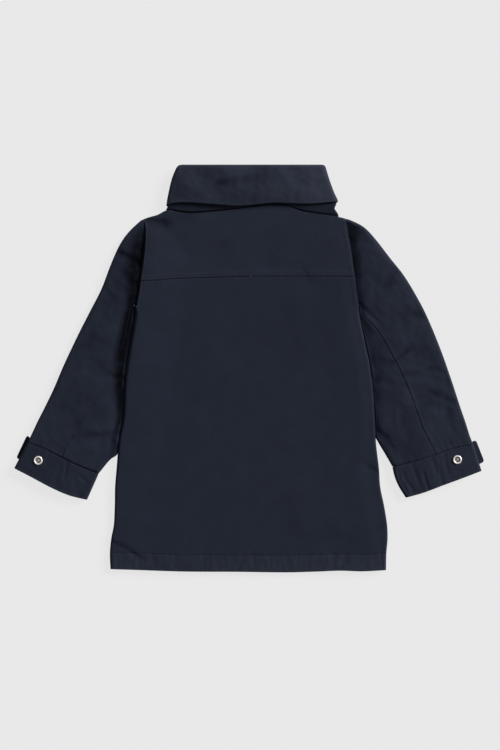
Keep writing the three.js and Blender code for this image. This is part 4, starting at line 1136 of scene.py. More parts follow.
    def build_front(self, side: Side) -> bpy.types.Object:
        """One of the two fronts, which lie down on the surface."""
        is_left = side is Side.LEFT
        middle = CENTRE_X + side.value * SEAM_GAP / 2
        rows = Stations.joined(
            self.folded_edge(False),
            {"share": np.linspace(0.02, 0.95, 90)},
            {"edge": 1.0, "turn": edge_turns(9)[::-1], "share": 1.0},
        )
        cloth = self.panel(
            self.side_columns(is_left, not is_left, self.columns // 4), rows, False,
            lower=hem_line, upper=self.front_neck_line,
            from_x=self.inside_left if is_left else (lambda y: middle + 0 * y),
            to_x=(lambda y: middle + 0 * y) if is_left else self.inside_right,
        )
        return cloth.build(f"front_panel_{side.word}", self.cloth)

    def on_face(self, x: Array, y: Array) -> Array:
        """Points of the upper face at places of the plan."""
        z = self.height(x, y) + self.top_relief(x, y)
        return np.stack([x, y, z], axis=-1)

    def build_stitches(self) -> bpy.types.Object:
        """Topstitching along the hem, the yoke and the armholes."""
        across = np.linspace(-200, 198, 500)
        hem = self.on_face(across, hem_line(across) + HEM_DEPTH)
        across = np.linspace(-154, 150, 400)
        yoke = self.on_face(across, yoke_line(across) + self.yoke_stitch)
        up = np.linspace(ARMHOLE_END_Y + 4, ARMHOLE_TOP_Y - 14, 200)
        inset = ROUND + self.armhole_stitch
        left = self.on_face(left_edge(up) + inset, up)
        right = self.on_face(right_edge(up) - inset, up)
        return Stitching().build("body_topstitching", [hem, yoke, left, right], self.thread)

    def build(self) -> None:
        back = self.build_back()
        stitches = self.build_stitches()
        declare(stitches)
        declare(back, ("back",))
        declare(self.build_yoke(), ("yoke",))
        for side in Side:
            front = self.build_front(side)
            declare(front, (f"front_{side.word}",))


@dataclass
class Sleeve:
    """An upper and an under sleeve, sewn along the elbow."""

    side: Side
    cloth: bpy.types.Material
    thread: bpy.types.Material
    lap_height: float
    lap_reach: float
    # Painted shade beside the body: where it begins, and how far it keeps clear of the body's cast shadow
    # above the armhole's end.
    shade_start: tuple[float, float]
    # An even lightening of the whole sleeve, greater on the right one: partly bleaching, partly painted light
    # standing in for the light from the right.
    bleach_and_painted_light: float
    shadow_reach: float
    seam_lap: float
    crumples: tuple[Crumple, ...]
    end_height: float = 8.6
    edge_share: float = 0.75
    lap: float = 3.0
    fold_clear: float = 5.2
    under_least: float = 8.0
    front_seam: float = 0.66
    plump: float = 0.9
    plump_rise: tuple[float, float] = (0.0, 0.12)
    plump_fall: tuple[float, float] = (0.86, 1.0)
    bend_start: float = 0.75
    pucker_reach: float = 11.0
    least_air: float = 0.4
    seam_wear: float = 0.45
    cuff_wear_and_painted_light: float = 0.4
    edge_wear: float = 0.25
    # How much the painted shade beside the body mutes the worn lightening.
    painted_shade_mutes_wear: float = 0.8
    tuck_width: float = 3.2
    fading_and_painted_light: float = 0.22
    hidden_gap: float = 0.06
    margin: float = 0.4
    seam_stitch: float = 2.2
    fold_steps: int = 17
    rows: int = 150

    def __post_init__(self) -> None:
        """Prepares the curves of the sleeve's length."""
        rows = SLEEVE_SECTIONS[self.side]
        sign = self.side.value
        self.edge = left_edge if self.side is Side.LEFT else right_edge
        run = np.concatenate([[0], np.cumsum(np.hypot(np.diff(rows["x"]), np.diff(rows["y"])))])
        self.length = float(run[-1])
        along = run / self.length
        self.read = {name: TableCurve(along, values) for name, values in rows.items()}
        self.sign = sign
        self.armhole_end = float(along[np.flatnonzero(rows["inner_y"] == ARMHOLE_END_Y)[0]])
        stations = CUFF_STATIONS[self.side]
        at = np.linspace(0, 1, len(stations["seam_x"]))
        self.seam_x = TableCurve(at, stations["seam_x"])
        self.seam_y = TableCurve(at, stations["seam_y"])
        self.relief = relief(SLEEVE_CREASES[self.side], self.crumples)
        self.pucker_noise = SmoothNoise(21 + sign)

    def inner_edge(self, along: Array) -> tuple[Array, Array]:
        """The inner edge's place in the plan."""
        y = self.read["inner_y"](along)
        return self.edge(y) + self.sign * self.read["away"](along), y

    def width(self, along: Array) -> Array:
        """Width of the sleeve's section."""
        x, y = self.inner_edge(along)
        return np.hypot(x - self.read["x"](along), y - self.read["y"](along))

    def plan(self, along: Array, distance: Array) -> tuple[Array, Array]:
        """Place in the plan at a distance from the outer edge, along the section."""
        inner_x, inner_y = self.inner_edge(along)
        outer_x, outer_y = self.read["x"](along), self.read["y"](along)
        share = distance / self.width(along)
        inside = (share > 0) & (share < 1)
        bend = smoothstep(along, self.bend_start, 1) * inside
        bow_x = self.seam_x(share) - lerp(self.seam_x(0), self.seam_x(1), share)
        bow_y = self.seam_y(share) - lerp(self.seam_y(0), self.seam_y(1), share)
        return lerp(outer_x, inner_x, share) + bend * bow_x, lerp(outer_y, inner_y, share) + bend * bow_y

    def elbow_seam(self, along: Array) -> Array:
        """Distance of the elbow seam from the outer edge."""
        width = self.width(along)
        return np.minimum(self.read["seam"](along) * width, width - self.under_least)

    def seam_relief(self, along: Array, distance: Array) -> Array:
        """The pressed elbow seam: the upper sleeve laps over the under sleeve."""
        over = self.elbow_seam(along) - distance
        below = smoothstep(along, self.armhole_end - 0.01, self.armhole_end + 0.03)
        groove = 0.5 * bell(over - self.seam_stitch, 0.8)
        lapped = self.seam_lap * ((over > 0) * (1 - smoothstep(over, 1.6, 4.5)) - groove)
        under = -self.seam_lap * (over <= 0) * bell(over, 1.9)
        gather = 0.12 * self.pucker_noise(along * self.length / 6, over / 16) * bell(over, 7)
        return below * (lapped + under + gather)

    def height(self, along: Array, distance: Array) -> Array:
        """Height of both layers, with the valley beside the body and all creases."""
        width = self.width(along)
        across = np.clip(distance / width, 0, 1)
        crest = self.read["crest"](along)
        edge_height = lerp(crest, self.end_height, self.edge_share)
        full = smoothstep(along, *self.plump_rise) * (1 - smoothstep(along, *self.plump_fall))
        crown = (crest - edge_height + self.plump * full) * np.sin(np.pi * across)
        to_inner = width - distance
        valley = self.read["dip"](along) * np.exp(-np.maximum(to_inner, 0) / self.read["dip_width"](along))
        valley = valley + self.read["tuck"](along) * bell(to_inner, self.tuck_width)
        x, y = self.plan(along, distance)
        cuff = bell((1 - along) * self.length, self.pucker_reach)
        puckers = 0.4 * cuff * self.pucker_noise(distance / 6.5, along * self.length / 40)
        puckers = puckers + 0.5 * cuff * self.pucker_noise(distance / 19 + 3, 5)
        fade = 1 - 0.7 * smoothstep(along, 0.97, 1)
        total = edge_height + crown - valley + fade * self.relief(x, y) + puckers
        height = np.maximum(total + self.seam_relief(along, distance), 2 * SHELL + self.least_air)
        lapped = smoothstep(-to_inner, -self.lap_reach, -0.3 * self.lap_reach)
        under_body = lerp(height, self.lap_height, lapped)
        return np.where(along > self.armhole_end, height, under_body)

    def face(self, along: Array, stations: list[tuple[Layer, Array]], is_outer: bool) -> Array:
        """Points of one face of a sleeve piece.

        Args:
            along: shares of the sleeve's length, one for each row.
            stations: blocks of columns. A block on a layer has its distances from the outer edge
                for each row, and one on a fold has its turns.
            is_outer: whether this is the cloth's outer face.

        Returns:
            A grid of points in millimetres.
        """
        depth = 0.0 if is_outer else SHELL
        rows = along[:, None]
        width = self.width(rows)
        blocks = []
        for layer, values in stations:
            if layer in (Layer.TOP, Layer.BOTTOM):
                distance = values
                x, y = self.plan(rows, distance)
                z = self.height(rows, distance) - depth if layer is Layer.TOP else depth + 0 * distance
            else:
                at_outer = layer is Layer.OUTER_FOLD
                distance = np.zeros_like(width) if at_outer else width
                turn = values[None, :]
                radius = self.height(rows, distance) / 2
                reach = (radius - depth) * np.cos(turn)
                inward = radius - reach if at_outer else width - radius + reach
                x, y = self.plan(rows, inward)
                z = radius + (radius - depth) * np.sin(turn)
            lift = tab_lift(rows, distance / width)
            blocks.append(np.stack(np.broadcast_arrays(x, y, z + lift), axis=-1))
        return np.concatenate(blocks, axis=1)

    def piece(self, along: Array, stations: list[tuple[Layer, Array]], around: Array) -> Cloth:
        """A sleeve piece from its rows and its blocks of columns."""
        outer, inner = (self.face(along, stations, is_outer) for is_outer in (True, False))
        grain = np.stack(np.broadcast_arrays(around, along[:, None] * self.length), axis=-1)
        to_seam = np.abs(self.elbow_seam(along)[:, None] - around)
        below = smoothstep(along, self.armhole_end, self.armhole_end + 0.03)[:, None]
        to_cuff = (1 - along[:, None]) * self.length
        mottle = 0.7 + 0.6 * self.pucker_noise(grain[..., 0] / 9, grain[..., 1] / 9)
        at_seam = self.seam_wear * below * margin_wear(to_seam, 1.8)
        wear_and_painted_light = (at_seam + self.cuff_wear_and_painted_light * margin_wear(to_cuff, 5)) * mottle
        wear_and_painted_light = wear_and_painted_light + self.edge_wear * margin_wear(np.abs(around), 6)
        x, y = outer[..., 0], outer[..., 1]
        # Partly fading, partly painted light and shade: ridges of the creases are lightened and troughs
        # darkened, adding to their shading.
        wear_and_painted_light = wear_and_painted_light + self.fading_and_painted_light * self.relief(x, y)
        # Painted shade: within reach of the body's edge the cloth is darkened, standing in for the shadow
        # between sleeve and body.
        to_inner = self.width(along)[:, None] - around
        reach = self.read["reach"](along)[:, None]
        painted_valley_shade = self.read["shade"](along)[:, None] * (1 - smoothstep(np.abs(to_inner) / reach, 0.4, 1))
        in_shadow = self.shadow_reach * (1 - below)
        painted_valley_shade = painted_valley_shade * smoothstep(to_inner - in_shadow, *self.shade_start)
        wear_and_painted_light = (wear_and_painted_light + self.bleach_and_painted_light) * (1 - self.painted_shade_mutes_wear * painted_valley_shade)
        return Cloth(outer, inner, grain, wear_and_painted_light - painted_valley_shade * (1.1 - 0.3 * mottle))

    @property
    def fold_turns(self) -> Array:
        """Angles round a folded edge, from the top layer to the bottom one."""
        return np.radians(np.linspace(90, -90, self.fold_steps))

    def rows_between(self, start: float, end: float) -> Array:
        """Rows of the sleeve's length, even between two shares and fine at the cuff."""
        count = max(3, round(self.rows * (end - start)))
        even = np.linspace(start, end - 0.02 if end == 1 else end, count)
        return np.concatenate([even, np.array([0.985, 0.99, 0.995, 1.0])]) if end == 1 else even

    def build_upper(self) -> bpy.types.Object:
        """The upper sleeve, which wraps the outer edge."""
        gap = self.hidden_gap / self.length
        above = self.rows_between(0, self.armhole_end)
        below = self.rows_between(self.armhole_end + gap, 1)
        along = np.concatenate([above, below])
        rows = along[:, None]
        width = self.width(rows)
        at_body = rows <= self.armhole_end
        top_end = np.where(at_body, width + self.lap, self.elbow_seam(rows) - self.hidden_gap / 2)
        bottom_end = np.where(at_body, width, self.front_seam * width - self.hidden_gap / 2)
        main_end = np.maximum(self.elbow_seam(rows) - self.margin, self.fold_clear + self.margin)
        lap_share = np.linspace(0, 1, 11)[None, :-1]
        share = np.linspace(0, 1, 60)[None, :] ** 1.35
        top = np.concatenate([
            lerp(top_end, main_end, lap_share), lerp(main_end, self.fold_clear, share),
        ], axis=1)
        turns = self.fold_turns
        bottom = lerp(self.fold_clear, bottom_end, np.linspace(0, 1, 14)[None, :])
        around = np.concatenate([top, 0 * turns[None, :] + 0 * width, -bottom], axis=1)
        stations = [(Layer.TOP, top), (Layer.OUTER_FOLD, turns), (Layer.BOTTOM, bottom)]
        return self.piece(along, stations, around).build(f"upper_sleeve_{self.side.word}", self.cloth)

    def build_under(self) -> bpy.types.Object:
        """The under sleeve, which wraps the inner edge below the armhole."""
        along = self.rows_between(self.armhole_end + 2 * self.hidden_gap / self.length, 1)
        rows = along[:, None]
        width = self.width(rows)
        share = np.linspace(0, 1, 36)[None, :]
        top = lerp(self.elbow_seam(rows) + self.hidden_gap / 2, width - self.fold_clear, share)
        turns = self.fold_turns
        bottom_end = self.front_seam * width + self.hidden_gap / 2
        bottom = lerp(width - self.fold_clear, bottom_end, np.linspace(0, 1, 10)[None, :])
        around = np.concatenate([top, width + 0 * turns[None, :], 2 * width - bottom], axis=1)
        stations = [(Layer.TOP, top), (Layer.INNER_FOLD, turns), (Layer.BOTTOM, bottom)]
        return self.piece(along, stations, around).build(f"under_sleeve_{self.side.word}", self.cloth)

    def build_stitches(self) -> bpy.types.Object:
        """Topstitching beside the elbow seam."""
        along = np.linspace(self.armhole_end + 0.02, 0.99, 300)
        distance = self.elbow_seam(along) - self.seam_stitch
        x, y = self.plan(along, distance)
        z = self.height(along, distance) + tab_lift(along, distance / self.width(along))
        path = np.stack([x, y, z], axis=-1)
        return Stitching().build(f"elbow_topstitching_{self.side.word}", [path], self.thread)

    def build(self) -> None:
        word = self.side.word
        stitches = self.build_stitches()
        declare(stitches)
        declare(self.build_upper(), (f"sleeve_upper_{word}",))
        declare(self.build_under(), (f"sleeve_under_{word}",))


def tab_lift(along: Array | float, across: Array) -> Array:
    """How high the strap under the cuff lifts the layers above it.

    Args:
        along: share of the sleeve's length; 1 on the cuff.
        across: share of its width, from the outer edge.

    Returns:
        The lift in millimetres.
    """
    rise = (TAB_WALL + SEAM_GAP) * smoothstep(along, *TAB_RISE_ALONG)
    return rise * (1 - smoothstep(across, *TAB_RISE_ACROSS))


@dataclass
class Cuff:
    """A cuff band and the adjusting strap whose end stands out past it."""

    side: Side
    cloth: bpy.types.Material
    thread: bpy.types.Material
    end_stitch: float = 4.6
    seam_stitch: float = 1.8
    fading_and_painted_light: float = 0.2
    inner_bow: float = 0.0
    pucker: float = 0.42
    ridge_size: float = 7.5
    snap_seat: float = 9.0
    tab_rounding: float = 0.7
    flat_steps: int = 74
    rows: int = 26

    def __post_init__(self) -> None:
        """Prepares the cuff's seam line and free end."""
        stations = CUFF_STATIONS[self.side]
        at = np.linspace(0, 1, len(stations["seam_x"]))
        self.line = {name: TableCurve(at, values) for name, values in stations.items()}
        middle = {name: float(values(0.5)) for name, values in self.line.items()}
        self.length = math.hypot(middle["end_x"] - middle["seam_x"], middle["end_y"] - middle["seam_y"])
        self.noise = SmoothNoise(41 + self.side.value)
        self.creases = relief(CUFF_CREASES[self.side], (Crumple(24, 0.35, 44 + self.side.value, 0.3),))

    def plan(self, share: Array, across: Array) -> tuple[Array, Array]:
        """Place in the plan, share of the way from the seam to the free end."""
        bow = self.inner_bow * np.sin(np.pi * share**0.9) * smoothstep(across, 0.6, 1) / self.length
        run_x = self.line["end_x"](across) - self.line["seam_x"](across)
        run_y = self.line["end_y"](across) - self.line["seam_y"](across)
        x = self.line["seam_x"](across) + share * run_x + self.side.value * bow * run_y
        y = self.line["seam_y"](across) + share * run_y - self.side.value * bow * run_x
        return x, y

    def width(self, share: Array) -> Array:
        """Width of the flattened cuff."""
        (x0, y0), (x1, y1) = self.plan(share, np.zeros(1)), self.plan(share, np.ones(1))
        return np.hypot(x1 - x0, y1 - y0)

    def top_relief(self, share: Array, distance: Array, x: Array, y: Array) -> Array:
        """Puckers and stitched grooves of the cuff's upper layer."""
        from_seam = share * self.length
        from_end = (1 - share) * self.length
        bent = distance + 3 * self.noise(distance / 30, from_seam / 22)
        ridges = self.noise(bent / self.ridge_size + 0.2 * from_seam / self.ridge_size, from_seam / 32)
        fine = 0.45 * self.noise(distance / 3.4 + 31, from_seam / 16)
        strength = 0.45 + 0.55 * bell(from_end - self.end_stitch, 9) + 0.4 * bell(from_seam, 6)
        snap_x, snap_y = SNAP_PLACES[self.side]
        seat = 1 - bell(np.hypot(x - snap_x, y - snap_y), self.snap_seat) ** 0.5
        at_end = 0.35 * bell(from_end - self.end_stitch, 0.9)
        grooves = at_end + 0.35 * bell(from_seam - self.seam_stitch, 0.8)
        rolled = 0.4 * self.noise(distance / 17 + 7, 3) * bell(from_seam, 5)
        return (self.pucker * strength * (ridges + fine) + rolled - grooves + self.creases(x, y)) * seat

    def point(self, share: Array, layer: Layer, values: Array, is_outer: bool, drop: Array) -> Array:
        """Points of one block of the cuff's ring.

        Args:
            share: rows, as shares of the way from the seam to the free end.
            layer: where the block lies.
            values: shares across a layer, or turns of a fold.
            is_outer: whether this is the cloth's outer face.
            drop: how far the face lies inside the wall at each row.

        Returns:
            A grid of points in millimetres.
        """
        radius = CUFF_HEIGHT / 2
        depth = (drop if is_outer else SHELL - drop) + 0 * share
        width = self.width(share)
        if layer in (Layer.TOP, Layer.BOTTOM):
            distance = lerp(radius, width - radius, values[None, :]) + 0 * share
            high = (1.0 if layer is Layer.TOP else -1.0) + 0 * distance
        else:
            reach = (radius - depth) * np.cos(values[None, :])
            distance = width - radius + reach if layer is Layer.INNER_FOLD else radius - reach
            high = np.sin(values[None, :]) + 0 * distance
        x, y = self.plan(share, distance / width)
        z = tab_lift(1.0, distance / width) + radius + (radius - depth) * high
        z = z + self.top_relief(share, distance, x, y) * np.maximum(high, 0) ** 2
        return np.stack([x, y, z], axis=-1)

    def build_band(self) -> bpy.types.Object:
        """The cuff band, a flattened ring."""
        turns = edge_turns(5)
        inset = ROUND * (1 - np.cos(turns)) / self.length
        first = 0.15 / self.length
        even = np.linspace(first + 1.2 / self.length, 1 - 1.4 / self.length, self.rows)
        share = np.concatenate([first + inset, even, 1 - inset[::-1]])[:, None]
        rim = ROUND * (1 - np.sin(turns))
        drop = np.concatenate([0.6 * rim, np.zeros(self.rows), rim[::-1]])[:, None]
        flat = np.linspace(0, 1, self.flat_steps)[1:-1]
        down = np.radians(np.linspace(90, -90, 15))
        blocks = [
            (Layer.TOP, flat), (Layer.INNER_FOLD, down),
            (Layer.BOTTOM, flat[::-1]), (Layer.OUTER_FOLD, down[::-1]),
        ]
        outer, inner = (
            np.concatenate([self.point(share, *block, is_outer, drop) for block in blocks], axis=1)
            for is_outer in (True, False)
        )
        width = float(np.mean(self.width(share)))
        around = np.linspace(0, 2 * width, outer.shape[1])[None, :]
        grain = np.stack(np.broadcast_arrays(around, share * self.length), axis=-1)
        from_end = (1 - share) * self.length
        from_seam = share * self.length
        mottle = 0.7 + 0.7 * self.noise(grain[..., 0] / 8, grain[..., 1] / 8)
        # The cuff's overall lightening carries painted light, set per side; its ends are lighter as worn
        # cloth.
        wear_and_painted_light = (self.fading_and_painted_light + 0.5 * margin_wear(from_end, 3) + 0.35 * margin_wear(from_seam, 2)) * mottle
        cloth = Cloth(outer, inner, grain, wear_and_painted_light, ring=True)
        return cloth.build(f"cuff_band_{self.side.word}", self.cloth)

    def build_tab(self) -> bpy.types.Object:
        """The strap on the cuff's front side, a flat double layer with pressed edges."""
        outline = TAB_OUTLINES[self.side]
        corners = np.stack([outline["x"], outline["y"]], axis=-1)
        for _ in range(3):
            ahead = np.roll(corners, -1, axis=0)
            keep = np.minimum(0.25, 1.6 / np.linalg.norm(ahead - corners, axis=1))[:, None]
            corners = np.stack([lerp(corners, ahead, keep), lerp(corners, ahead, 1 - keep)], axis=1)
            corners = corners.reshape(-1, 2)
        tangent = np.roll(corners, -1, axis=0) - np.roll(corners, 1, axis=0)
        tangent /= np.linalg.norm(tangent, axis=1)[:, None]
        inward = -self.side.value * np.stack([-tangent[:, 1], tangent[:, 0]], axis=-1)
        half = TAB_WALL / 2
        rings = [
            np.column_stack([
                corners + inward * self.tab_rounding * (1 - math.cos(turn)),
                np.full(len(corners), half + half * math.sin(turn)),
            ])
            for turn in np.linspace(-math.pi / 2, math.pi / 2, 9)
        ]
        points = np.concatenate(rings)
        around = closed_grid(len(rings), len(corners))
        ends = [around[0, :-1][::-1].tolist(), around[-1, :-1].tolist()]
        faces = [*grid_faces(around).tolist(), *ends]
        if self.side is Side.RIGHT:
            faces = [face[::-1] for face in faces]
        made = new_object(f"cuff_strap_{self.side.word}", points, faces)
        grain = points.copy()
        grain[:, 2] = 0
        add_measure(made, "grain", grain)
        add_measure(made, "wear_and_painted_light", np.full(len(grain), 0.15))
        made.data.materials.append(self.cloth)
        return made

    def build_stitches(self) -> bpy.types.Object:
        """Topstitching at the cuff's free end, below its seam and on the strap's fold."""
        paths = []
        for place in (self.seam_stitch, self.length - self.end_stitch):
            share = np.full((1, 1), place / self.length)
            values = np.linspace(0.01, 0.99, 260)
            paths.append(self.point(share, Layer.TOP, values, True, np.zeros((1, 1)))[0])
        outline = TAB_OUTLINES[self.side]
        start = np.array([outline["x"][0], outline["y"][0]])
        end = np.array([outline["x"][1], outline["y"][1]])
        toward = np.array([-self.side.value * 2.6, -1.0])
        run = np.linspace(0.06, 0.9, 40)[:, None]
        edge = lerp(start, end, run) + toward
        paths.append(np.column_stack([edge, np.full(len(edge), TAB_WALL)]))
        return Stitching().build(f"cuff_topstitching_{self.side.word}", paths, self.thread)

    def build(self) -> None:
        word = self.side.word
        stitches = self.build_stitches()
        declare(stitches)
        declare(self.build_band(), (f"cuff_{word}",))
        declare(self.build_tab(), (f"cuff_tab_{word}",))


@dataclass
class RingSnap:
    """A metal ring snap, pressed through the cuff."""

    side: Side
    metal: bpy.types.Material
    dark_metal_and_painted_shade: bpy.types.Material
    radius: float = 6.6
    ring_width: float = 2.5
    ring_height: float = 1.5
    stud_radius: float = 1.8
    stud_height: float = 1.3
    sunk: float = 0.25
    crown_base: float = 0.35
    stud_base: float = 0.3
    flange_gap: float = 0.03
    flange_height: float = 0.25
    segments: int = 72

    def turned(self, name: str, profile: Array, metal: bpy.types.Material) -> bpy.types.Object:
        """A turned metal piece from its profile of radius and height, set on the cuff."""
        turns = np.linspace(0, 2 * np.pi, self.segments, endpoint=False)
        x0, y0 = SNAP_PLACES[self.side]
        base = CUFF_HEIGHT + TAB_WALL + 2 * SEAM_GAP - self.sunk
        rows = [
            np.column_stack([
                x0 + radius * np.cos(turns),
                y0 + radius * np.sin(turns),
                np.full(self.segments, base + height),
            ])
            for radius, height in profile
        ]
        quads = grid_faces(closed_grid(len(profile), self.segments))
        made = new_object(name, np.concatenate(rows), quads)
        made.data.materials.append(metal)
        return made

    def build(self) -> None:
        word = self.side.word
        inner = self.radius - self.ring_width
        turns = np.linspace(0, np.pi, 15)
        middle = (inner + self.radius) / 2
        crown = [
            (middle + self.ring_width / 2 * math.cos(turn),
             self.crown_base + self.ring_height * math.sin(turn) ** 0.8) for turn in turns
        ]
        ring = [(self.radius, 0), *crown, (inner, 0), (self.radius, 0)]
        ring_piece = self.turned(f"ring_snap_{word}", np.array(ring), self.metal)
        declare(ring_piece, (f"snap_ring_{word}",))
        dome = [
            (self.stud_radius * math.cos(turn), self.stud_base + self.stud_height * math.sin(turn))
            for turn in np.linspace(0, np.pi / 2 - 0.01, 9)
        ]
        rim = inner - self.flange_gap
        flange = [(0.001, 0), (rim, 0), (rim, self.flange_height)]
        # The stud cap's dark metal is partly the stud's own finish, partly painted shade in the ring's
        # hollow.
        stud = [*flange, *dome, (0.0005, self.stud_base + self.stud_height)]
        stud_piece = self.turned(f"snap_stud_cap_{word}", np.array(stud), self.dark_metal_and_painted_shade)
        declare(stud_piece, (f"snap_stud_{word}",))


@dataclass
class Collar:
    """The stand, sewn to the neckline, and the fall turned down over it."""

    body: Body
    cloth: bpy.types.Material
    lip: float = 6.3
    front_drop: float = 5.0
    top_y: float = 304.8
    side_clear: float = -1.3
    front_point: float = 22.0
    fall_front_gap: float = 10.0
    stand_front_gap: float = 1.0
    stand_short: float = 1.6
    fading_and_painted_light: float = 0.3
    swell: float = 2.2
    edge_lift: float = 1.3
    side_lip: float = 0.9
    width: float = 58.0
    squareness: float = 0.6
    sink: float = 0.8
    seam_tuck: float = 1.4
    seam_depth: float = 2.4
    seam_rise: float = 0.35
    fold_in: float = 5.0
    top_steps: int = 118
    front_steps: int = 40
    fold_steps: int = 15

    def __post_init__(self) -> None:
        """Prepares the collar's creases."""
        self.relief = relief(COLLAR_CREASES, (Crumple(34, 1.05, 51), Crumple(15, 0.62, 52, 0.5)))

    def ring(
        self, left: Array, right: Array, middle: Array, half: Array, depth: Array, side_depth: Array,
        front_gap: float,
    ) -> tuple[Array, Array, Array]:
        """A flattened ring, open at the centre front, from one end along the bottom to the other.

        Args:
            left: x of the left edge for each point of the grid.
            right: x of the right edge.
            middle: height of the ring's centre.
            half: half its height.
            depth: distance of the face inside the ring, above and below.
            side_depth: the same at the sides.
            front_gap: width of the opening.

        Returns:
            x, z, and how high each point lies, from -1 below to 1 above.
        """
        bend = np.linspace(0, math.pi, self.fold_steps)[1:-1]
        front = np.linspace(0, 1, self.front_steps)
        back = np.linspace(0, 1, self.top_steps)
        blocks = (front, -math.pi / 2 - bend, back, math.pi / 2 - bend, front[::-1])
        kinds = np.repeat(np.arange(5), [len(block) for block in blocks])
        value = np.concatenate(blocks)[None, :]
        bent = np.sign(np.sin(value[0])) * np.abs(np.sin(value[0])) ** self.squareness
        high = np.select([kinds == 2, (kinds == 1) | (kinds == 3)], [1.0, bent], -1.0)[None, :]
        lobe = half - side_depth
        x = np.select(
            [kinds[None, :] == k for k in range(5)],
            [
                lerp(CENTRE_X - front_gap / 2, left + half, value),
                left + half + lobe * np.cos(value),
                lerp(left + half, right - half, value),
                right - half + lobe * np.cos(value),
                lerp(CENTRE_X + front_gap / 2, right - half, value),
            ],
        )
        return x, middle + (half - depth) * high, high + 0 * x

    @property
    def columns(self) -> int:
        """Number of stations round the ring."""
        return 2 * self.front_steps + self.top_steps + 2 * (self.fold_steps - 2)

    def fall_edge(self, x: Array, high: Array) -> Array:
        """Lower edge of the fall. Its front half hangs lower and ends in points."""
        share = np.clip((x - NECK_LEFT_X) / (NECK_RIGHT_X - NECK_LEFT_X), 0, 1)
        front = lerp(fall_line(NECK_LEFT_X), fall_line(NECK_RIGHT_X), share)
        front = front - self.front_point * np.sin(np.pi * share)
        return lerp(front, fall_line(x), (high + 1) / 2)

    def fold_edge(self, high: Array) -> Array:
        """y of the collar's top fold."""
        return self.top_y - self.front_drop * (1 - high) / 2

    def fall_face(self, share: Array, inset: Array, depth: Array, side_depth: Array) -> Array:
        """Points of one face of the fall.

        Args:
            share: of the way from the free edge to the fold, for each row.
            inset: distance inside the fold, for each row.
            depth: distance of the face inside the ring, for each row.
            side_depth: the same at the ring's sides.

        Returns:
            A grid of points in millimetres.
        """
        shape = (len(share), self.columns)
        share, inset, depth, side_depth = (values[:, None] for values in (share, inset, depth, side_depth))
        half = np.full(shape, COLLAR_HEIGHT / 2)
        y = np.full(shape, self.top_y)
        for _ in range(SETTLE_STEPS):
            x, z, high = self.ring(
                collar_left(y), collar_right(y), half, half, depth, side_depth, self.fall_front_gap,
            )
            y = lerp(self.fall_edge(x, high), self.fold_edge(high) - inset, share)
        across = np.clip((x - collar_left(y)) / (collar_right(y) - collar_left(y)), 0, 1)
        on_back = smoothstep(high, 0.2, 1)
        swell = self.swell * np.sin(np.pi * across**1.15) * np.sin(np.pi * np.clip(share, 0, 1) ** 0.8)
        lift = lerp(self.edge_lift, 0.3 * self.edge_lift, across) * (1 - np.clip(share, 0, 1)) ** 2
        lift = lift * smoothstep(across, 0, 0.05) * (1 - smoothstep(across, 0.95, 1))
        near_fold = smoothstep(self.fold_edge(high) - y, 1, 9)
        shaped = self.relief(x, y) * near_fold * (0.35 + 0.65 * smoothstep(y - self.fall_edge(x, high), 0, 9))
        return np.stack([x, y, z + on_back * (swell + lift + shaped)], axis=-1)

    def build_fall(self) -> bpy.types.Object:
        """The fall, from its free edge to the fold over the stand."""
        rim = edge_turns(5)
        free = np.linspace(0.03, 1, 34)
        turn = np.linspace(0, math.pi / 2, 10)[1:]
        flat = len(rim) + len(free)
        share = np.concatenate([ROUND * (1 - np.cos(rim)) / self.width, free, np.ones(len(turn))])
        edge_drop = np.concatenate([ROUND * (1 - np.sin(rim)), np.zeros(len(free))])

        def rows(start: float, end: Array, along: Array | float) -> Array:
            """A value that is even up to the fold and then runs round it."""
            return np.concatenate([np.full(flat, start), end]) + along

        def face(is_outer: bool) -> Array:
            """Points of the outer or the inner face."""
            skin = 0.0 if is_outer else SHELL
            drop = np.concatenate([edge_drop if is_outer else -edge_drop, np.zeros(len(turn))])
            inset = rows(self.fold_in, skin + (self.fold_in - skin) * (1 - np.sin(turn)), 0)
            depth = rows(skin, lerp(skin, self.lip, 1 - np.cos(turn)), drop)
            side_depth = rows(skin, lerp(skin, self.side_lip, 1 - np.cos(turn)), drop)
            return self.fall_face(share, inset, depth, side_depth)

        outer = face(True)
        from_edge = share[:, None] * self.width
        grain = np.stack(np.broadcast_arrays(outer[..., 0], from_edge), axis=-1)
        x, y = outer[..., 0], outer[..., 1]
        # Painted light: the fall is lightened towards its right end, and near its top fold, partly as worn
        # cloth, more so on the right. The free edge and the left end are lighter as worn cloth.
        across = smoothstep(x, 30, 120)
        fold_wear_and_light = (0.25 + 0.55 * across) * smoothstep(share, 0.65, 1)[:, None]
        at_left = 0.7 * margin_wear(x - collar_left(y), 7)
        wear_and_painted_light = 0.35 * margin_wear(from_edge, 2.5) + fold_wear_and_light + at_left + 0.7 * across
        # Partly fading, partly painted light and shade: ridges of the creases are lightened and troughs
        # darkened, adding to their shading.
        wear_and_painted_light = wear_and_painted_light + self.fading_and_painted_light * self.relief(x, y)
        return Cloth(outer, face(False), grain, wear_and_painted_light).build("collar_fall_piece", self.cloth)

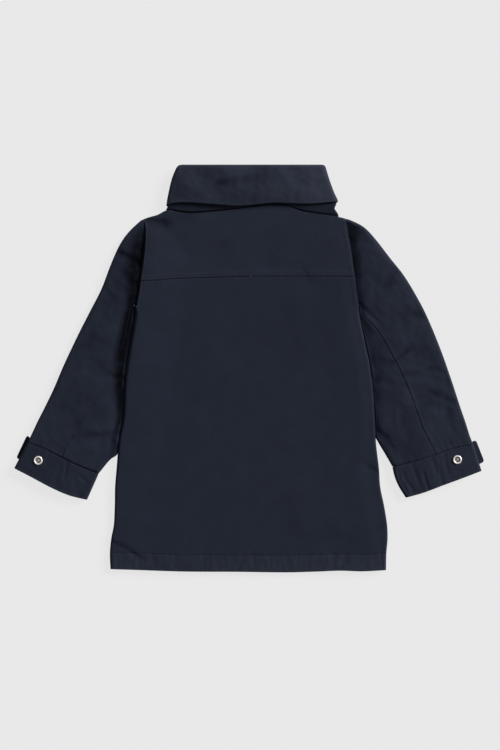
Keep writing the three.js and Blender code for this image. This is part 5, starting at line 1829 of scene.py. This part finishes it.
    def stand_face(self, rise: Array, share: Array, is_outer: bool) -> Array:
        """Points of one face of the stand.

        Args:
            rise: how far it has climbed into the fall, for each row.
            share: of the way from there to its top, for each row.
            is_outer: whether this is the cloth's outer face.

        Returns:
            A grid of points in millimetres.
        """
        shape = (len(rise), self.columns)
        rise, share = rise[:, None], share[:, None]
        climb = smoothstep(rise, 0, 1)
        in_fall = WALL + SEAM_GAP
        depth = np.full(shape, 0.0 if is_outer else SHELL)
        inset = (in_fall + self.side_clear) * climb
        middle = np.broadcast_to(lerp(NECK_HEIGHT / 2, COLLAR_HEIGHT / 2, climb), shape)
        half = np.broadcast_to(lerp(NECK_HEIGHT / 2, COLLAR_HEIGHT / 2 - in_fall, climb), shape)
        y = np.full(shape, 240.0)
        for _ in range(SETTLE_STEPS):
            left = lerp(NECK_LEFT_X, collar_left(y), climb) + inset
            right = lerp(NECK_RIGHT_X, collar_right(y), climb) - inset
            x, z, high = self.ring(left, right, middle, half, depth, depth, self.stand_front_gap)
            front = (1 - high) / 2
            seam = lerp(neck_line(x), self.body.front_neck_line(x), front) + SEAM_GAP
            climb_length = np.clip(self.fall_edge(x, high) - seam - 0.6, 3.6, 14)
            top = self.fold_edge(high) - WALL - self.stand_short
            y = lerp(seam + climb_length * rise, top, share)
        deep = lerp(self.sink, 0.4, smoothstep(x, -70, 60)) * np.sin(np.pi * np.clip(rise, 0.12, 1)) ** 0.7
        on_back = smoothstep(high, 0.3, 1)
        y = y - on_back * self.seam_tuck * (rise == 0)
        deep = np.maximum(deep, self.seam_depth * (1 - smoothstep(rise, 0, self.seam_rise)))
        return np.stack([x, y, z - deep * (share == 0) * on_back], axis=-1)

    def build_stand(self) -> bpy.types.Object:
        """The stand, from the neck seam up into the fall."""
        climbing = np.concatenate([[0, 0.001], np.linspace(0.05, 1, 20)])
        rise = np.concatenate([climbing, np.ones(14)])
        share = np.concatenate([0 * climbing, np.linspace(0, 1, 15)[1:]])
        outer, inner = (self.stand_face(rise, share, is_outer) for is_outer in (True, False))
        grain = outer[..., :2].copy()
        # Painted shade: the whole stand is darkened, most at its root on the left, standing in for the shadow
        # under the fall.
        at_seam = 0.6 * (1 - smoothstep(rise, 0.05, 0.3))[:, None]
        wear_and_painted_light = -0.33 - at_seam * (1 - smoothstep(outer[..., 0], -60, 60))
        return Cloth(outer, inner, grain, wear_and_painted_light).build("collar_stand_piece", self.cloth)

    def build(self) -> None:
        declare(self.build_stand(), ("collar_stand",))
        declare(self.build_fall(), ("collar_fall",))


@dataclass
class Studio:
    """A pale floor, soft light from the upper right, and the camera straight above."""

    frame_height: float = 1.125
    frame_centre: tuple[float, float] = (0.00075, -0.0103)
    cloth_level: float = 0.0045
    lens: float = 85.0
    sensor: float = 36.0
    sun_strength: float = 5.4
    sun_spread: float = 22.0
    sun_azimuth: float = 32.0
    sun_elevation: float = 26.0
    surround: float = 0.25
    floor_shade: float = 0.06
    floor_glow: float = 0.753
    floor_reach: float = 30000.0
    floor_drop: float = 0.2

    def build(self) -> None:
        """Sets up the studio."""
        scene = bpy.context.scene
        scene.view_settings.view_transform = "Standard"
        camera = bpy.data.cameras.new("camera")
        camera.lens = self.lens
        camera.sensor_fit = "VERTICAL"
        camera.sensor_height = self.sensor
        camera.sensor_width = self.sensor
        camera.clip_end = 50
        above = bpy.data.objects.new("camera", camera)
        distance = self.frame_height * self.lens / self.sensor
        above.location = (*self.frame_centre, self.cloth_level + distance)
        scene.collection.objects.link(above)
        scene.camera = above
        self.build_light(scene)
        self.build_floor()

    def build_light(self, scene: bpy.types.Scene) -> None:
        """One large soft light and an even surround."""
        light = bpy.data.lights.new("softbox", "SUN")
        light.energy = self.sun_strength
        light.angle = math.radians(self.sun_spread)
        lamp = bpy.data.objects.new("softbox", light)
        azimuth, elevation = math.radians(self.sun_azimuth), math.radians(self.sun_elevation)
        back = Vector((
            math.cos(azimuth) * math.cos(elevation),
            math.sin(azimuth) * math.cos(elevation),
            math.sin(elevation),
        ))
        lamp.rotation_euler = back.to_track_quat("Z", "Y").to_euler()
        lamp.location = back * 3
        scene.collection.objects.link(lamp)
        world = bpy.data.worlds.new("surround")
        world.use_nodes = True
        background = world.node_tree.nodes["Background"]
        background.inputs["Color"].default_value = (1, 1, 1, 1)
        background.inputs["Strength"].default_value = self.surround
        scene.world = world

    def build_floor(self) -> None:
        """The plain pale floor."""
        reach, z = self.floor_reach, -self.floor_drop
        points = np.array([(-reach, -reach, z), (reach, -reach, z), (reach, reach, z), (-reach, reach, z)])
        floor = new_object("floor", points, np.array([[0, 1, 2, 3]]))
        paper = bpy.data.materials.new("pale_paper")
        paper.use_nodes = True
        shader = paper.node_tree.nodes["Principled BSDF"]
        shader.inputs["Base Color"].default_value = (self.floor_shade,) * 3 + (1,)
        shader.inputs["Roughness"].default_value = 0.9
        shader.inputs["Specular IOR Level"].default_value = 0.0
        shader.inputs["Emission Color"].default_value = (1, 1, 1, 1)
        shader.inputs["Emission Strength"].default_value = self.floor_glow
        floor.data.materials.append(paper)
        log.info("studio: camera %.3f m above the cloth", self.frame_height * self.lens / self.sensor)


def main() -> None:
    """Builds the studio and the parka's sub-assemblies in order."""
    Studio().build()
    shell = ClothFinish("navy_twill", (0.0107, 0.0140, 0.0251), (0.0170, 0.0208, 0.0335)).material()
    # A lighter copy of the shell's twill for the yoke: painted light for the yoke looking brighter than the
    # back.
    yoke = ClothFinish("navy_twill_yoke_lit", (0.0122, 0.0157, 0.0274), (0.0180, 0.0220, 0.0350)).material()
    # A lighter copy of the shell's twill for the collar: painted light for the collar catching more light.
    collar = ClothFinish("navy_twill_collar_lit", (0.0145, 0.0181, 0.0304), (0.0230, 0.0272, 0.0425)).material()
    # A darker copy of the navy thread, painted shade for the left elbow seam's stitches, which run in the
    # shade beside the body.
    thread_in_painted_shade = ThreadFinish("thread_in_painted_shade", (0.0055, 0.0068, 0.0115)).material()
    thread = ThreadFinish("navy_thread", (0.0118, 0.0146, 0.0245)).material()
    metal = MetalFinish("bright_metal", (0.88, 0.83, 0.80), 0.42, 0.55).material()
    # A dark metal for the stud cap that fills the ring's hollow: partly the stud's own darker finish, partly
    # painted shade in the hollow.
    dark_metal_and_painted_shade = MetalFinish("dark_metal_and_painted_shade", (0.24, 0.23, 0.215), 0.5, 0.4).material()
    body = Body(shell, yoke, thread)
    body.build()
    left_sleeve = Sleeve(
        Side.LEFT, shell, thread_in_painted_shade, seam_lap=0.15, lap_height=6.35, lap_reach=5.0,
        shade_start=(-1.5, 2.0), bleach_and_painted_light=0.02, shadow_reach=2.4,
        crumples=(Crumple(46, 0.9, 31), Crumple(21, 0.75, 32, 0.5), Crumple(9, 0.16, 33, 0.3)),
    )
    right_sleeve = Sleeve(
        Side.RIGHT, shell, thread, seam_lap=0.4, lap_height=7.3, lap_reach=1.8,
        shade_start=(-1.0, 3.0), bleach_and_painted_light=0.09, shadow_reach=0.0,
        crumples=(Crumple(42, 1.05, 35), Crumple(22, 0.95, 36, 0.5), Crumple(9, 0.2, 37, 0.3)),
    )
    # The right cuff is lightened and the left darkened all over: painted light and shade from the light on
    # the right.
    left_cuff = Cuff(Side.LEFT, shell, thread, fading_and_painted_light=-0.08)
    right_cuff = Cuff(Side.RIGHT, shell, thread, fading_and_painted_light=0.42, inner_bow=3.2, pucker=0.3)
    for sleeve, cuff in ((left_sleeve, left_cuff), (right_sleeve, right_cuff)):
        sleeve.build()
        cuff.build()
        RingSnap(cuff.side, metal, dark_metal_and_painted_shade).build()
    Collar(body, collar).build()


if __name__ == "__main__":
    logging.basicConfig(level=logging.INFO, format="%(message)s")
    main()
